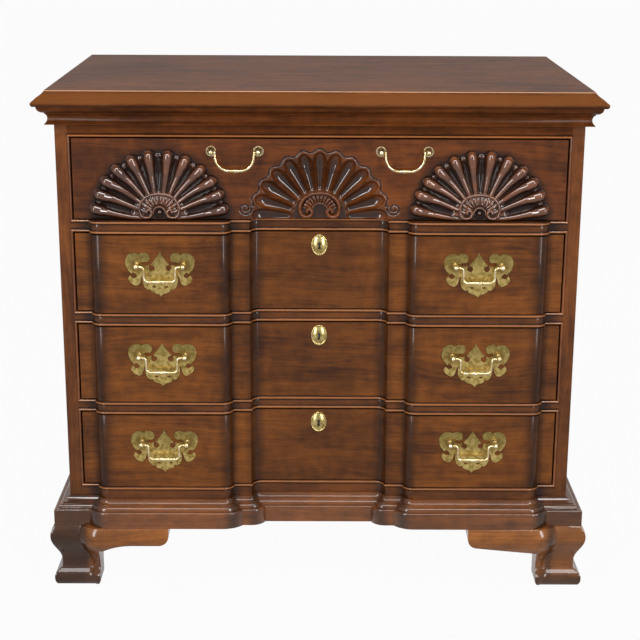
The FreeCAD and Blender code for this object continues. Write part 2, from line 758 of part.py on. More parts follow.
def front_foot(side, cusped):
    """Mitred front and side brackets and their glue block, for side -1 or 1."""
    reach = FOOT_BULGE + BLOCK
    section = foot_section()
    corner = side * HALF
    inner = side * (HALF - BRACKET_LENGTH)
    x0, x1 = sorted((corner + side * FOOT_BULGE, inner))
    ogee_front = along_x(section, x0, x1)
    ogee_side = along_y(section, -FOOT_BULGE, BRACKET_LENGTH, corner, side)
    inside = box(min(inner, corner - side * FOOT_INSIDE), max(inner, corner - side * FOOT_INSIDE),
                 -reach, BRACKET_LENGTH, 0, FOOT_HEIGHT)
    front = ogee_front.common(fuse([ogee_side, inside]))
    turn_at = side * (BLOCK_FLAT_OUTER + FOOT_BLOCK_EXTRA)
    a, b = sorted((turn_at, inner))
    proud = foot_block_section()
    start = -90 if side > 0 else 180
    block = [along_x(proud, a, b), turned(proud, turn_at, 0, 0, start, 90)]
    front = fuse([front] + block)
    face = plate_xz(bracket_outline(reach, cusped), -reach, FOOT_INSIDE, corner, 0, -side)
    front = front.common(face)
    far = FOOT_BULGE
    near = FOOT_INSIDE
    mitre = polygon([(corner + side * far, -far), (corner - side * near, near),
                     (inner, near), (inner, -reach - 1), (corner + side * far, -reach - 1)])
    front = front.common(outline(mitre, lambda x, y: V(x, y, 0)).extrude(V(0, 0, FOOT_HEIGHT)))
    side_outline = outline(
        bracket_outline(FOOT_BULGE, True), lambda a, z: V(corner + side * FOOT_BULGE, a, z)
    ).extrude(V(-side * (FOOT_BULGE + FOOT_INSIDE), 0, 0))
    return_piece = ogee_side.common(side_outline)
    mitre_side = polygon([(corner + side * far, -far), (corner - side * near, near),
                          (corner - side * near, BRACKET_LENGTH),
                          (corner + side * far, BRACKET_LENGTH)])
    return_piece = return_piece.common(
        outline(mitre_side, lambda x, y: V(x, y, 0)).extrude(V(0, 0, FOOT_HEIGHT))
    )
    g0, g1 = sorted((corner - side * near, corner - side * (near + GLUE_BLOCK)))
    glue = box(g0, g1, near, near + GLUE_BLOCK, GLUE_BLOCK_LIFT, FOOT_HEIGHT)
    return [front, return_piece, glue]


def rear_foot(side):
    """Ogee side bracket, plain back bracket and glue block, for side -1 or 1."""
    section = foot_section()
    corner = side * HALF
    y_back = CASE_DEPTH
    ogee = along_y(section, y_back - BRACKET_LENGTH, y_back, corner, side)
    side_face = outline(
        bracket_outline(0, True), lambda a, z: V(corner + side * FOOT_BULGE, y_back - a, z)
    ).extrude(V(-side * (FOOT_BULGE + FOOT_INSIDE), 0, 0))
    side_piece = ogee.common(side_face)
    near = FOOT_INSIDE
    start = corner - side * near
    end = corner - side * REAR_BRACKET_LENGTH
    points = [(start, 0), (corner - side * LEG_WIDTH, 0),
              (corner - side * LEG_WIDTH, LEG_ROUND_HEIGHT),
              (end, BRACKET_FLAT_HEIGHT), (end, FOOT_HEIGHT), (start, FOOT_HEIGHT)]
    back_piece = plate_xz(polygon(points), y_back - REAR_BRACKET_THICK, y_back)
    g0, g1 = sorted((start, start - side * GLUE_BLOCK))
    g_back = y_back - REAR_BRACKET_THICK
    glue = box(g0, g1, g_back - GLUE_BLOCK, g_back, GLUE_BLOCK_LIFT, FOOT_HEIGHT)
    return [side_piece, back_piece, glue]


# ---------------------------------------------------------------- drawers
def tail_solids(z0, z1, y0, y1, x0, x1):
    """Row of dovetails between z0 and z1 that widen from y1 towards y0."""
    pitch = (z1 - z0) / TAILS
    solids = []
    for i in range(TAILS):
        centre = z0 + pitch * (i + 0.5)
        root = pitch * 0.31
        tip = root + TAIL_FLARE
        spans = polygon([(y1, centre - root), (y1, centre + root), (y0, centre + tip),
                         (y0, centre - tip)])
        face = outline(spans, lambda y, z: V(x0, y, z))
        solids.append(face.extrude(V(x1 - x0, 0, 0)))
    return solids


def drawer_levels(number):
    """Bottom and top of a drawer's front, sides and back, and the bottom board's faces."""
    z0, z1 = OPENINGS[number]
    side_bottom = z0 + RUN_GAP
    board = side_bottom + BOTTOM_LIFT
    return {
        "front": (z0 + FRONT_GAP_BOTTOM, z1 - FRONT_GAP_TOP),
        "side": (side_bottom, z1 - SIDE_TOP_GAP),
        "board": (board, board + BOTTOM_BOARD),
        "back": (board + BOTTOM_BOARD + GROOVE_PLAY, z1 - BACK_TOP_GAP),
    }


def corner_tails(number):
    """Dovetails at the front and back right-hand corners of a drawer."""
    levels = drawer_levels(number)
    x0 = FRONT_HALF - SIDE_BOARD
    low = levels["board"][1] + 2
    front = tail_solids(low, levels["side"][1] - 4, FRONT_BACK - TAIL_LENGTH, FRONT_BACK, x0, FRONT_HALF)
    rear = tail_solids(low, levels["back"][1] - 2, DRAWER_BACK, DRAWER_BACK - BACK_BOARD, x0, FRONT_HALF)
    return front, rear


def drawer_sides(number):
    """Two side boards with tails and a groove for the bottom."""
    levels = drawer_levels(number)
    x0 = FRONT_HALF - SIDE_BOARD
    board = box(x0, FRONT_HALF, FRONT_BACK, DRAWER_BACK - BACK_BOARD, *levels["side"])
    front, rear = corner_tails(number)
    foot = box(x0, FRONT_HALF, DRAWER_BACK - BACK_BOARD, DRAWER_BACK, levels["side"][0],
               levels["back"][0])
    groove = box(x0, x0 + GROOVE, FRONT_BACK, DRAWER_BACK, levels["board"][0] - GROOVE_PLAY,
                 levels["board"][1] + GROOVE_PLAY)
    side = cut(fuse([board, foot] + front + rear), [groove])
    return both(side)


def drawer_back(number):
    """Back board over the bottom, with sockets for the sides' tails."""
    levels = drawer_levels(number)
    y0 = DRAWER_BACK - BACK_BOARD
    board = box(-FRONT_HALF, FRONT_HALF, y0, DRAWER_BACK, *levels["back"])
    _, rear = corner_tails(number)
    return cut(board, rear + [mirrored(tail) for tail in rear])


def drawer_bottom(number):
    """Bottom board in the grooves, under the back."""
    levels = drawer_levels(number)
    half = FRONT_HALF - SIDE_BOARD + GROOVE - GROOVE_PLAY
    y0 = FRONT_BACK - GROOVE + GROOVE_PLAY
    return box(-half, half, y0, DRAWER_BACK - 1, *levels["board"])


def keyhole(y0, y1, z):
    """Key-shaped opening through a face, with its round part about z."""
    round_part = cylinder(V(0, y0, z), V(0, y1, z), KEY_ROUND)
    points = [(-KEY_FLARE / 2, z - KEY_DROP), (KEY_FLARE / 2, z - KEY_DROP), (KEY_SLOT / 2, z),
              (-KEY_SLOT / 2, z)]
    slot = plate_xz(polygon(points), y0, y1)
    return fuse([round_part, slot])


def lock_place(number):
    """Top of the lock and height of its keyhole."""
    top = drawer_levels(number)["front"][1]
    return top, OPENINGS[number][1] - ESC_DROP + 2.5


def post_places(number):
    """X of each pull's middle, face that it stands on, and height of its posts."""
    z0, z1 = OPENINGS[number]
    if number == 1:
        return TOP_PULL_PLACE, 0.0, z1 - TOP_POST_DROP
    return PULL_PLACE, -BLOCK, (z0 + z1) / 2 + PULL_LIFT + POST_RISE


def drawer_front(number):
    """Front board: blocked, or flat with the carved shell, bored for its pulls and lock."""
    levels = drawer_levels(number)
    z0, z1 = levels["front"]
    if number == 1:
        front = box(-FRONT_HALF, FRONT_HALF, 0, FRONT_BACK, z0, z1)
        front = carved_shell(front, z0)
    else:
        front = blocked_slab(FRONT_HALF, FRONT_BACK, z0, z1)
    tails, _ = corner_tails(number)
    tools = tails + [mirrored(tail) for tail in tails]
    groove_half = FRONT_HALF - SIDE_BOARD + GROOVE
    tools.append(box(-groove_half, groove_half, FRONT_BACK - GROOVE, FRONT_BACK,
                     levels["board"][0] - GROOVE_PLAY, levels["board"][1] + GROOVE_PLAY))
    place, face, z = post_places(number)
    for x in (place - POST_SPACING / 2, place + POST_SPACING / 2):
        tools += both(cylinder(V(x, face, z), V(x, FRONT_BACK, z), BOLT_RADIUS + BOLT_PLAY))
    if number > 1:
        top, z_key = lock_place(number)
        half = LOCK_WIDTH / 2
        tools.append(box(-half, half, FRONT_BACK - LOCK_DEPTH, FRONT_BACK, top - LOCK_HEIGHT, top))
        tools.append(keyhole(BLOCK, FRONT_BACK - LOCK_DEPTH, z_key))
    return cut(front, tools)


def drawer_lock(number):
    """Lock case let into the front's back, with its bolt drawn in."""
    top, z_key = lock_place(number)
    half = LOCK_WIDTH / 2
    y0 = FRONT_BACK - LOCK_DEPTH
    case = box(-half, half, y0, FRONT_BACK, top - LOCK_HEIGHT, top)
    play = 0.2
    y_bolt = y0 + (LOCK_DEPTH - BOLT_THICK) / 2
    channel = box(-BOLT_WIDTH / 2 - play, BOLT_WIDTH / 2 + play, y_bolt - play,
                  y_bolt + BOLT_THICK + play, top - BOLT_HEIGHT - play, top)
    case = cut(case, [channel, keyhole(y0, y_bolt - play, z_key)])
    bolt = box(-BOLT_WIDTH / 2, BOLT_WIDTH / 2, y_bolt, y_bolt + BOLT_THICK, top - BOLT_HEIGHT, top)
    return [case, bolt]


# ---------------------------------------------------------------- shells
def hub(z0, y, depth):
    """C-shaped scroll with a low mound in it; y is its crest and depth its height to the ground."""
    scroll = Part.makeTorus(HUB_RADIUS, HUB_ROPE, V(0, y + HUB_ROPE, z0 + 8), V(0, 1, 0))
    upper = box(-60, 60, y - 1, y + depth + 10, z0 + 8, z0 + 60)
    scroll = scroll.common(upper)
    disc = Part.makeCylinder(HUB_RADIUS, depth - HUB_ROPE, V(0, y + HUB_ROPE, z0 + 8), V(0, 1, 0))
    foot = box(-HUB_RADIUS, HUB_RADIUS, y + HUB_ROPE, y + depth, z0, z0 + 8)
    disc = fuse([disc.common(upper), foot])
    mound = Part.makeCone(15, 9, HUB_ROPE, V(0, y + HUB_ROPE + 0.1, z0 + 8), V(0, -1, 0))
    mound = mound.common(box(-60, 60, y - 1, y + depth, z0, z0 + 60))
    ends = []
    for x in (-HUB_RADIUS + 5, HUB_RADIUS - 5):
        curl = Part.makeCylinder(5.5, depth - 1, V(x, y + 1, z0 + 6), V(0, 1, 0))
        ends.append(curl)
    return fuse([disc, scroll, mound] + ends)


def ray(angle, r, y, z0):
    """Point at a radius and angle about a shell's middle."""
    return V(r * math.cos(angle), y, z0 + r * math.sin(angle))


def convex_shell(x, z0):
    """Applied shell of rounded lobes that radiate from the scroll at its foot."""
    step = math.pi / SHELL_LOBES
    tip = SHELL_RADIUS / (1 + math.tan(step / 2) * 1.02)
    r_tip = SHELL_RADIUS - tip
    pieces = []
    for i in range(SHELL_LOBES):
        angle = step * (i + 0.5)
        inner = ray(angle, HUB_RADIUS - 4, -8.5, z0)
        outer = ray(angle, tip, r_tip - SHELL_RISE, z0)
        pieces.append(cone(inner, outer, 4.6, r_tip))
        pieces.append(ball(outer, r_tip))
    ground = Part.makeCylinder(tip, 7, V(0, -7, z0), V(0, 1, 0))
    shell = fuse(pieces + [ground])
    shell = shell.common(box(-SHELL_RADIUS, SHELL_RADIUS, -SHELL_RISE - 1, 0, z0,
                             z0 + SHELL_RADIUS + 2))
    shell = fuse([shell, hub(z0, -SHELL_RISE, SHELL_RISE)])
    shell.translate(V(x, 0, 0))
    return shell


def drawer_1_shells():
    """The two applied shells of the top drawer."""
    z0 = drawer_levels(1)["front"][0] + SHELL_LIFT
    return [convex_shell(side * PULL_PLACE, z0) for side in (-1, 1)]


def carved_shell(front, z0):
    """Front less a fan of hollow flutes, with the scroll left standing at the foot."""
    flutes = []
    half_pitch = math.radians(CARVED_FLUTE_PITCH / 2)
    tip = CARVED_RADIUS / (1 + math.tan(half_pitch) * 1.04)
    r_tip = CARVED_RADIUS - tip
    for i in range(CARVED_FLUTES):
        angle = math.pi / 2 + math.radians(CARVED_FLUTE_PITCH) * (i - (CARVED_FLUTES - 1) / 2)
        inner = ray(angle, HUB_RADIUS - 8, BLOCK - 4.6, z0)
        outer = ray(angle, tip, BLOCK - r_tip, z0)
        flutes.append(cone(inner, outer, 4.6, r_tip))
        flutes.append(ball(outer, r_tip))
    dish = Part.makeCylinder(tip, 9, V(0, 0, z0), V(0, 1, 0))
    reach = CARVED_RADIUS + 2
    keep = box(-reach, reach, -1, BLOCK + 1, z0 - 1, z0 + reach)
    hollow = fuse([flute.common(keep) for flute in flutes] + [dish.common(keep)])
    return fuse([front.cut(hollow), hub(z0, 1.5, BLOCK + 3)])


# ---------------------------------------------------------------- pulls
def pull_plate_half():
    """Right half of the pierced plate's outline, from the spire round to the foot, as spans."""
    return [
        [(0, 37.4), (6, 27), (10.5, 21.2), (15.2, 15.5)],
        [(15.2, 15.5), (11, 13.5)],
        [(11, 13.5), (8.9, 9.5), (12.5, 5), (17, 6.6), (18.2, 11.5)],
        [(18.2, 11.5), (18, 15)],
        [(18, 15), (24, 14), (30, 16.5)],
        [(30, 16.5), (27, 20), (20.5, 20.5), (16.8, 25.5), (18.5, 32), (25.5, 35.4), (33.5, 31.8)],
        [(33.5, 31.8), (42, 35.2), (50.5, 32.4), (55.8, 24.5), (55.6, 14), (51.5, 5.5), (46.2, 0)],
        [(46.2, 0), (43.6, 2.2), (40.5, 0.5), (37.8, -3.6)],
        [(37.8, -3.6), (42, -6.8), (48.4, -2.6)],
        [(48.4, -2.6), (52, -8.4), (47.5, -15.6), (39.5, -20)],
        [(39.5, -20), (33.4, -15), (31.6, -9), (30.4, -5)],
        [(30.4, -5), (29, -3.8), (27.8, -5)],
        [(27.8, -5), (28.2, -16), (24.6, -23.6), (19.6, -26.8)],
        [(19.6, -26.8), (16.4, -25.6)],
        [(16.4, -25.6), (13.6, -30.4), (7, -33), (0, -38.6)],
    ]


def pull_plate(x, y, z):
    """Pierced plate with two small lens openings, lying on the face at y."""
    half = pull_plate_half()
    other = [[(-a, b) for a, b in reversed(span)] for span in reversed(half)]
    plate = plate_xz(half + other, y - PLATE_THICK, y, x, z)
    tools = []
    for side in (-1, 1):
        lens = [
            [(6.6, -21.6), (10.2, -20.1), (13.8, -21.2)],
            [(13.8, -21.2), (10.4, -23.3), (6.6, -21.6)],
        ]
        tools.append(plate_xz(lens, y - PLATE_THICK, y, x, z, side))
        hole = x + side * POST_SPACING / 2
        tools.append(cylinder(V(hole, y - PLATE_THICK, z + POST_RISE), V(hole, y, z + POST_RISE),
                              BOLT_RADIUS + BOLT_PLAY))
    return cut(plate, tools)


def pull_plates(number):
    """Both plates of a drawer."""
    place, face, z = post_places(number)
    return [pull_plate(side * place, face, z - POST_RISE) for side in (-1, 1)]


def post(x, face, z, inward, ground):
    """Ball-headed post with its threaded shank; inward points to the pull's middle."""
    centre = V(x, face - POST_STAND, z)
    head = TOP_POST_BALL if ground == face else POST_BALL
    pieces = [
        ball(centre, head),
        cylinder(V(x, ground, z), V(x, face - POST_STAND, z), POST_NECK),
        cylinder(V(x, ground, z), V(x, FRONT_BACK + NUT_THICK + 1, z), BOLT_RADIUS),
    ]
    if ground == face:
        pieces.append(cylinder(V(x, ground - ROSETTE_THICK / 2, z), V(x, ground, z), ROSETTE_RADIUS))
        pieces.append(cone(V(x, ground - ROSETTE_THICK / 2, z), V(x, ground - 2 * ROSETTE_THICK, z),
                           ROSETTE_RADIUS * 0.8, POST_NECK))
    else:
        pieces.append(cone(V(x, ground, z), V(x, ground - 3, z), POST_FLANGE, POST_NECK))
    bore = cylinder(V(x - inward, face - POST_STAND, z),
                    V(x + inward * (head + 1), face - POST_STAND, z), PIN_RADIUS + PIN_PLAY)
    return cut(fuse(pieces), [bore])


def nut(x, z):
    """Square-cornered nut on the back of a drawer front."""
    corners = [(NUT_RADIUS * math.cos(math.radians(60 * i)), NUT_RADIUS * math.sin(math.radians(60 * i)))
               for i in range(6)]
    solid = plate_xz(polygon(corners), FRONT_BACK, FRONT_BACK + NUT_THICK, x, z)
    return cut(solid, [cylinder(V(x, FRONT_BACK, z), V(x, FRONT_BACK + NUT_THICK, z),
                                BOLT_RADIUS + PIN_PLAY / 2)])


def pull_posts(number):
    """Four posts and their nuts."""
    place, face, z = post_places(number)
    ground = face if number == 1 else face - PLATE_THICK
    solids = []
    for side in (-1, 1):
        for end in (-1, 1):
            x = side * place + end * POST_SPACING / 2
            solids.append(post(x, face, z, -end, ground))
            solids.append(nut(x, z))
    return solids


def bar(spans, radius):
    """Round bar along spans of points in (x, z)."""
    path = path_of(spans, lambda x, z: V(x, 0, z))
    start = path.Edges[0]
    first = start.valueAt(start.FirstParameter)
    tangent = start.tangentAt(start.FirstParameter)
    ring = Part.Wire([Part.makeCircle(radius, first, tangent)])
    return path.makePipeShell([ring], True, True)


def elbow(x, z, bend, start, side):
    """Quarter bend of the bail about (x, z); start is its first angle from side * X."""
    angle = math.radians(start)
    first = V(side * (x + bend * math.cos(angle)), 0, z + bend * math.sin(angle))
    along = V(-side * math.sin(angle), 0, math.cos(angle))
    disc = Part.Face(Part.Wire([Part.makeCircle(BAIL_RADIUS, first, along)]))
    return disc.revolve(V(side * x, 0, z), V(0, -side, 0), 90)


def grip(half, z):
    """Turned foot of the bail, swelling to a knop in the middle."""
    right = [
        [(0, BAIL_KNOP), (1.9, 2.6)],
        [(1.9, 2.6), (3.2, 2.6)],
        [(3.2, 2.6), (3.2, BAIL_SWELL)],
        [(3.2, BAIL_SWELL), (half - 2, BAIL_RADIUS)],
        [(half - 2, BAIL_RADIUS), (half, BAIL_RADIUS)],
    ]
    left = [[(-x, r) for x, r in reversed(span)] for span in reversed(right)]
    ends = [[(half, BAIL_RADIUS), (half, 0)], [(half, 0), (-half, 0)], [(-half, 0), (-half, BAIL_RADIUS)]]
    face = outline(left + right + ends, lambda x, r: V(x, 0, z + r))
    return face.revolve(V(0, 0, z), V(1, 0, 0), 360)


def batwing_bail():
    """Bail with collared ends and a knop, hanging from the middle of its pivot line."""
    x, z = BAIL_HALF, -BAIL_DROP
    foot, neck = BAIL_FOOT_BEND, BAIL_NECK_BEND
    pieces = [grip(x - foot, z)]
    for side in (-1, 1):
        pieces.append(elbow(x - foot, z + foot, foot, -90, side))
        pieces.append(cylinder(V(side * x, 0, z + foot), V(side * x, 0, -neck), BAIL_RADIUS))
        pieces.append(elbow(x + neck, -neck, neck, 90, side))
        pieces.append(cylinder(V(side * (x + neck), 0, 0), V(side * PIN_END, 0, 0), PIN_RADIUS))
        pieces.append(Part.makeSphere(BAIL_RADIUS + 0.5, V(side * (x + neck), 0, 0), V(side, 0, 0)))
    return fuse(pieces)


def swan_bail():
    """Plain swan-neck bail, narrower at the foot, hanging from its pivot line."""
    x, z = SWAN_HALF, -SWAN_DROP
    half = [(7, z), (14.7, z + 0.8), (19.8, z + 3.2), (24.8, z + 7.4), (28.9, z + 13.2),
            (x - 0.6, z + 21), (x, 0)]
    path = [(-a, b) for a, b in reversed(half)] + [(0, z)] + half
    pieces = [bar([path], SWAN_RADIUS)]
    for side in (-1, 1):
        pieces.append(ball(V(side * x, 0, 0), SWAN_RADIUS + 0.1))
        pieces.append(cylinder(V(side * x, 0, 0), V(side * PIN_END, 0, 0), PIN_RADIUS))
        pieces.append(cone(V(0, 0, z), V(side * 13, 0, z), SWAN_RADIUS + 0.8, SWAN_RADIUS * 0.8))
    return fuse(pieces)


def bails(number):
    """Left and right bails of a drawer in their places."""
    place, face, z = post_places(number)
    shape = swan_bail() if number == 1 else batwing_bail()
    result = {}
    for side, name in ((-1, "left"), (1, "right")):
        copy = shape.copy()
        copy.translate(V(side * place, face - POST_STAND, z))
        result[f"drawer_{number}_bail_{name}"] = copy
    return result


def escutcheon(number):
    """Oval domed plate with a raised rim and a keyhole, on the recess's face."""
    z = OPENINGS[number][1] - ESC_DROP
    radius = ESC_WIDTH / 2
    face = outline(
        [
            [(0, 0), (radius, 0)],
            [(radius, 0), (radius, 0.8)],
            [(radius, 0.8), (radius - 1.1, 1.7), (radius - 2.2, 0.9)],
            [(radius - 2.2, 0.9), (radius * 0.5, ESC_THICK * 0.8), (0, ESC_THICK)],
            [(0, ESC_THICK), (0, 0)],
        ],
        lambda r, out: V(r, -out, 0),
    )
    disc = face.revolve(V(0, 0, 0), V(0, 1, 0), 360)
    stretch = FreeCAD.Matrix()
    stretch.scale(V(1, 1, ESC_HEIGHT / ESC_WIDTH))
    oval = disc.transformGeometry(stretch)
    oval.translate(V(0, BLOCK, z))
    return cut(oval, [keyhole(BLOCK - ESC_THICK - 1, BLOCK, lock_place(number)[1])])


# ---------------------------------------------------------------- all the nodes
def all_parts():
    """Every node's name with its solid or list of solids."""
    nodes = {
        "top_board": top_board(),
        "side_panel_left": side_panel(-1),
        "side_panel_right": side_panel(1),
        "back_panel": back_panel(),
        "bottom_board": bottom_board(),
        "cornice_front": cornice_front(),
        "cornice_returns": cornice_returns(),
        "top_rail": top_rail(),
        "divider_rail_1": divider_rail(2),
        "divider_rail_2": divider_rail(3),
        "divider_rail_3": divider_rail(4),
        "bottom_rail": bottom_rail(),
        "stile_beads": stile_beads(),
        "drawer_runners": drawer_runners(),
        "drawer_stops": drawer_stops(),
        "rear_top_rail": rear_top_rail(),
        "base_moulding_front": base_moulding_front(),
        "base_moulding_returns": base_moulding_returns(),
        "front_foot_left": front_foot(-1, True),
        "front_foot_right": front_foot(1, False),
        "rear_foot_left": rear_foot(-1),
        "rear_foot_right": rear_foot(1),
        "drawer_1_shells": drawer_1_shells(),
    }
    for number in OPENINGS:
        name = f"drawer_{number}"
        nodes[f"{name}_front"] = drawer_front(number)
        nodes[f"{name}_sides"] = drawer_sides(number)
        nodes[f"{name}_back"] = drawer_back(number)
        nodes[f"{name}_bottom"] = drawer_bottom(number)
        nodes[f"{name}_pull_posts"] = pull_posts(number)
        nodes.update(bails(number))
        if number > 1:
            nodes[f"{name}_pull_plates"] = pull_plates(number)
            nodes[f"{name}_escutcheon"] = escutcheon(number)
            nodes[f"{name}_lock"] = drawer_lock(number)
    return nodes


def export(name, shape):
    """Move a node to the shared frame and write its STEP file."""
    shapes = shape if isinstance(shape, list) else [shape]
    solids = [solid for item in shapes for solid in item.Solids]
    whole = solids[0] if len(solids) == 1 else Part.makeCompound(solids)
    whole = whole.copy()
    whole.translate(V(0, TO_MIDDLE, 0))
    whole.exportStep(f"parts/{name}.step")
    print(f"{name:28s} {len(solids)} solid(s) {whole.Volume / 1000:9.1f} cm3 valid {whole.isValid()}")


os.makedirs("parts", exist_ok=True)
for node, solid in all_parts().items():
    export(node, solid)
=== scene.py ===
"""Looks of the block front chest: mahogany under lacquer, polished brass and its studio.

Lengths are in metres, except in the carving's own shapes, which are in mm and say so.
"""

import logging
import math
from dataclasses import dataclass, field
from enum import Enum

import bmesh
import bpy
import numpy as np
from mathutils import Matrix, Vector

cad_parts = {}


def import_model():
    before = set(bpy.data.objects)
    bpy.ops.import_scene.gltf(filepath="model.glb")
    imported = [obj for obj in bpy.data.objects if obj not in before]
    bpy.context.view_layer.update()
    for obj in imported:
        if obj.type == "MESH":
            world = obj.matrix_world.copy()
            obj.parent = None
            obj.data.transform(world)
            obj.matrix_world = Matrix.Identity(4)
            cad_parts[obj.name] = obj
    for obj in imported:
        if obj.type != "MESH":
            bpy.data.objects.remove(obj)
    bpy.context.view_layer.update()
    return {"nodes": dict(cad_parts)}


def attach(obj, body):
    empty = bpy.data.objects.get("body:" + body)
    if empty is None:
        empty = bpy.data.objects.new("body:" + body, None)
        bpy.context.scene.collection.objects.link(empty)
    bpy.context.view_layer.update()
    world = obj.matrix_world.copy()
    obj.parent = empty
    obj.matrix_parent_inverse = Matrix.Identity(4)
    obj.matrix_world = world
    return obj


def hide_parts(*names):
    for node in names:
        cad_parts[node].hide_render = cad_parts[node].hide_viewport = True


log = logging.getLogger("chest")

MM = 0.001
FACE_Y = -0.2375
FRONT_BACK_Y = FACE_Y + 0.032
FRONT_BOTTOM = 0.6393
FRONT_TOP = 0.7705
SHELL_X = 0.25975
SHELL_Z = 0.6398
POST_X = 0.0381
PULL_HEIGHTS = {2: 0.56595, 3: 0.41145, 4: 0.2582}
# Colour of the dark glazing and of all the painted shade: in recesses, quirks, hollows, creases and towards
# the floor.
GLAZE_AND_SHADE_COLOUR = "#140A08"


def smooth_path(points: list[tuple[float, float]], steps: int = 6) -> list[tuple[float, float]]:
    """Run a smooth curve through points.

    Args:
        points: Places on the curve, in mm.
        steps: Pieces between each two of them.

    Returns:
        The curve as a chain of close points.
    """
    ends = [points[0], *points, points[-1]]
    chain = []
    for a, b, c, d in zip(ends, ends[1:], ends[2:], ends[3:]):
        for step in range(steps):
            t = step / steps
            place = []
            for p, q, r, s in zip(a, b, c, d):
                bend = 2 * q + (r - p) * t + (2 * p - 5 * q + 4 * r - s) * t**2
                place.append(0.5 * (bend + (3 * q - p - 3 * r + s) * t**3))
            chain.append(tuple(place))
    return [*chain, points[-1]]


def distance(x: np.ndarray, z: np.ndarray, path: list[tuple[float, float]]) -> np.ndarray:
    """Measure how far places lie from a chain of points.

    Args:
        x: Places across, in mm.
        z: Places up, in mm.
        path: The chain.

    Returns:
        The distances in mm.
    """
    best = np.full(x.shape, 1e6)
    for (ax, az), (bx, bz) in zip(path, path[1:]):
        length = (bx - ax) ** 2 + (bz - az) ** 2
        if length > 0:
            t = np.clip(((x - ax) * (bx - ax) + (z - az) * (bz - az)) / length, 0, 1)
            best = np.minimum(best, np.hypot(x - ax - t * (bx - ax), z - az - t * (bz - az)))
    return best


def ramp(value: np.ndarray, low: float, high: float) -> np.ndarray:
    """Rise smoothly from 0 at low to 1 at high.

    Args:
        value: Values to shape.
        low: Where it is 0.
        high: Where it is 1.

    Returns:
        The shaped values.
    """
    t = np.clip((value - low) / (high - low), 0, 1)
    return t * t * (3 - 2 * t)


def dome(share: np.ndarray) -> np.ndarray:
    """Height of a unit half circle at a share of its radius."""
    return np.sqrt(np.clip(1 - share**2, 0, None))


@dataclass(frozen=True)
class Scroll:
    """C-shaped scroll with volutes, small gadroons and a pearl at a shell's foot, in mm.

    Args:
        band: Half the width of the scroll's rounded band.
        arch: Radius of the inner arch.
        crest: Height of the band.
        ground: Height of the ground that the gadroons stand on.
        crown: Height of the scroll's outer line over the shell's foot.
        hub: Height of the arch's centre over the shell's foot.
        pearl: Radius of the pearl.
        first: Angle of the first gadroon's edge, in degrees.
        pitch: Angle from one gadroon to the next, in degrees.
    """

    band: float
    arch: float
    crest: float = 11.0
    ground: float = 5.0
    crown: float = 42.0
    hub: float = 11.0
    pearl: float = 4.6
    first: float = 18.0
    pitch: float = 14.4

    def outer(self) -> list[tuple[float, float]]:
        """Give the right half of the scroll's line, from its crown to the volute's eye."""
        arm = [(0, self.crown), (14, 40), (24.5, 34), (31, 24), (32, 13), (28.5, 5)]
        volute = [(21.5, 2.6), (14.5, 5), (12.5, 11), (15.5, 15.5), (19.5, 14.5), (20.5, 11.5)]
        return smooth_path([*arm, *volute])

    def height(self, x: np.ndarray, z: np.ndarray) -> np.ndarray:
        """Work out the height over the shell's ground.

        Args:
            x: Places across from the shell's middle.
            z: Places up from its foot.

        Returns:
            Heights in mm, and -2 outside the scroll.
        """
        x = np.abs(x)
        line = self.outer()
        arm = list(reversed(line[:31]))
        from_line = distance(x, z, line)
        reach = np.interp(z, [place[1] for place in arm], [place[0] for place in arm])
        inside = (x < reach) & (z < self.crown)
        height = np.where(inside, self.ground, -2.0)
        rho = np.hypot(x, z - self.hub)
        turn = np.degrees(np.arctan2(z - self.hub, x))
        beat = (turn - self.first) / self.pitch
        lobe = dome(2 * (beat - np.floor(beat)) - 1) * dome((rho - 21) / 8.5)
        gadroons = inside & (rho > self.arch) & (turn > 14)
        height = np.where(gadroons, self.ground + 3.6 * lobe, height)
        height = np.where(inside & (rho < self.arch), 2.0, height)
        height = np.where(rho < self.pearl, 2.0 + self.pearl * dome(rho / self.pearl), height)
        arch = np.abs(rho - self.arch)
        bead = np.maximum(height, self.ground + 3.4 * dome(arch / 1.7))
        height = np.where(inside & (arch < 1.7) & (z > 9), bead, height)
        rise = self.ground + (self.crest - self.ground) * dome(from_line / self.band)
        return np.where(from_line < self.band, np.maximum(height, rise), height)


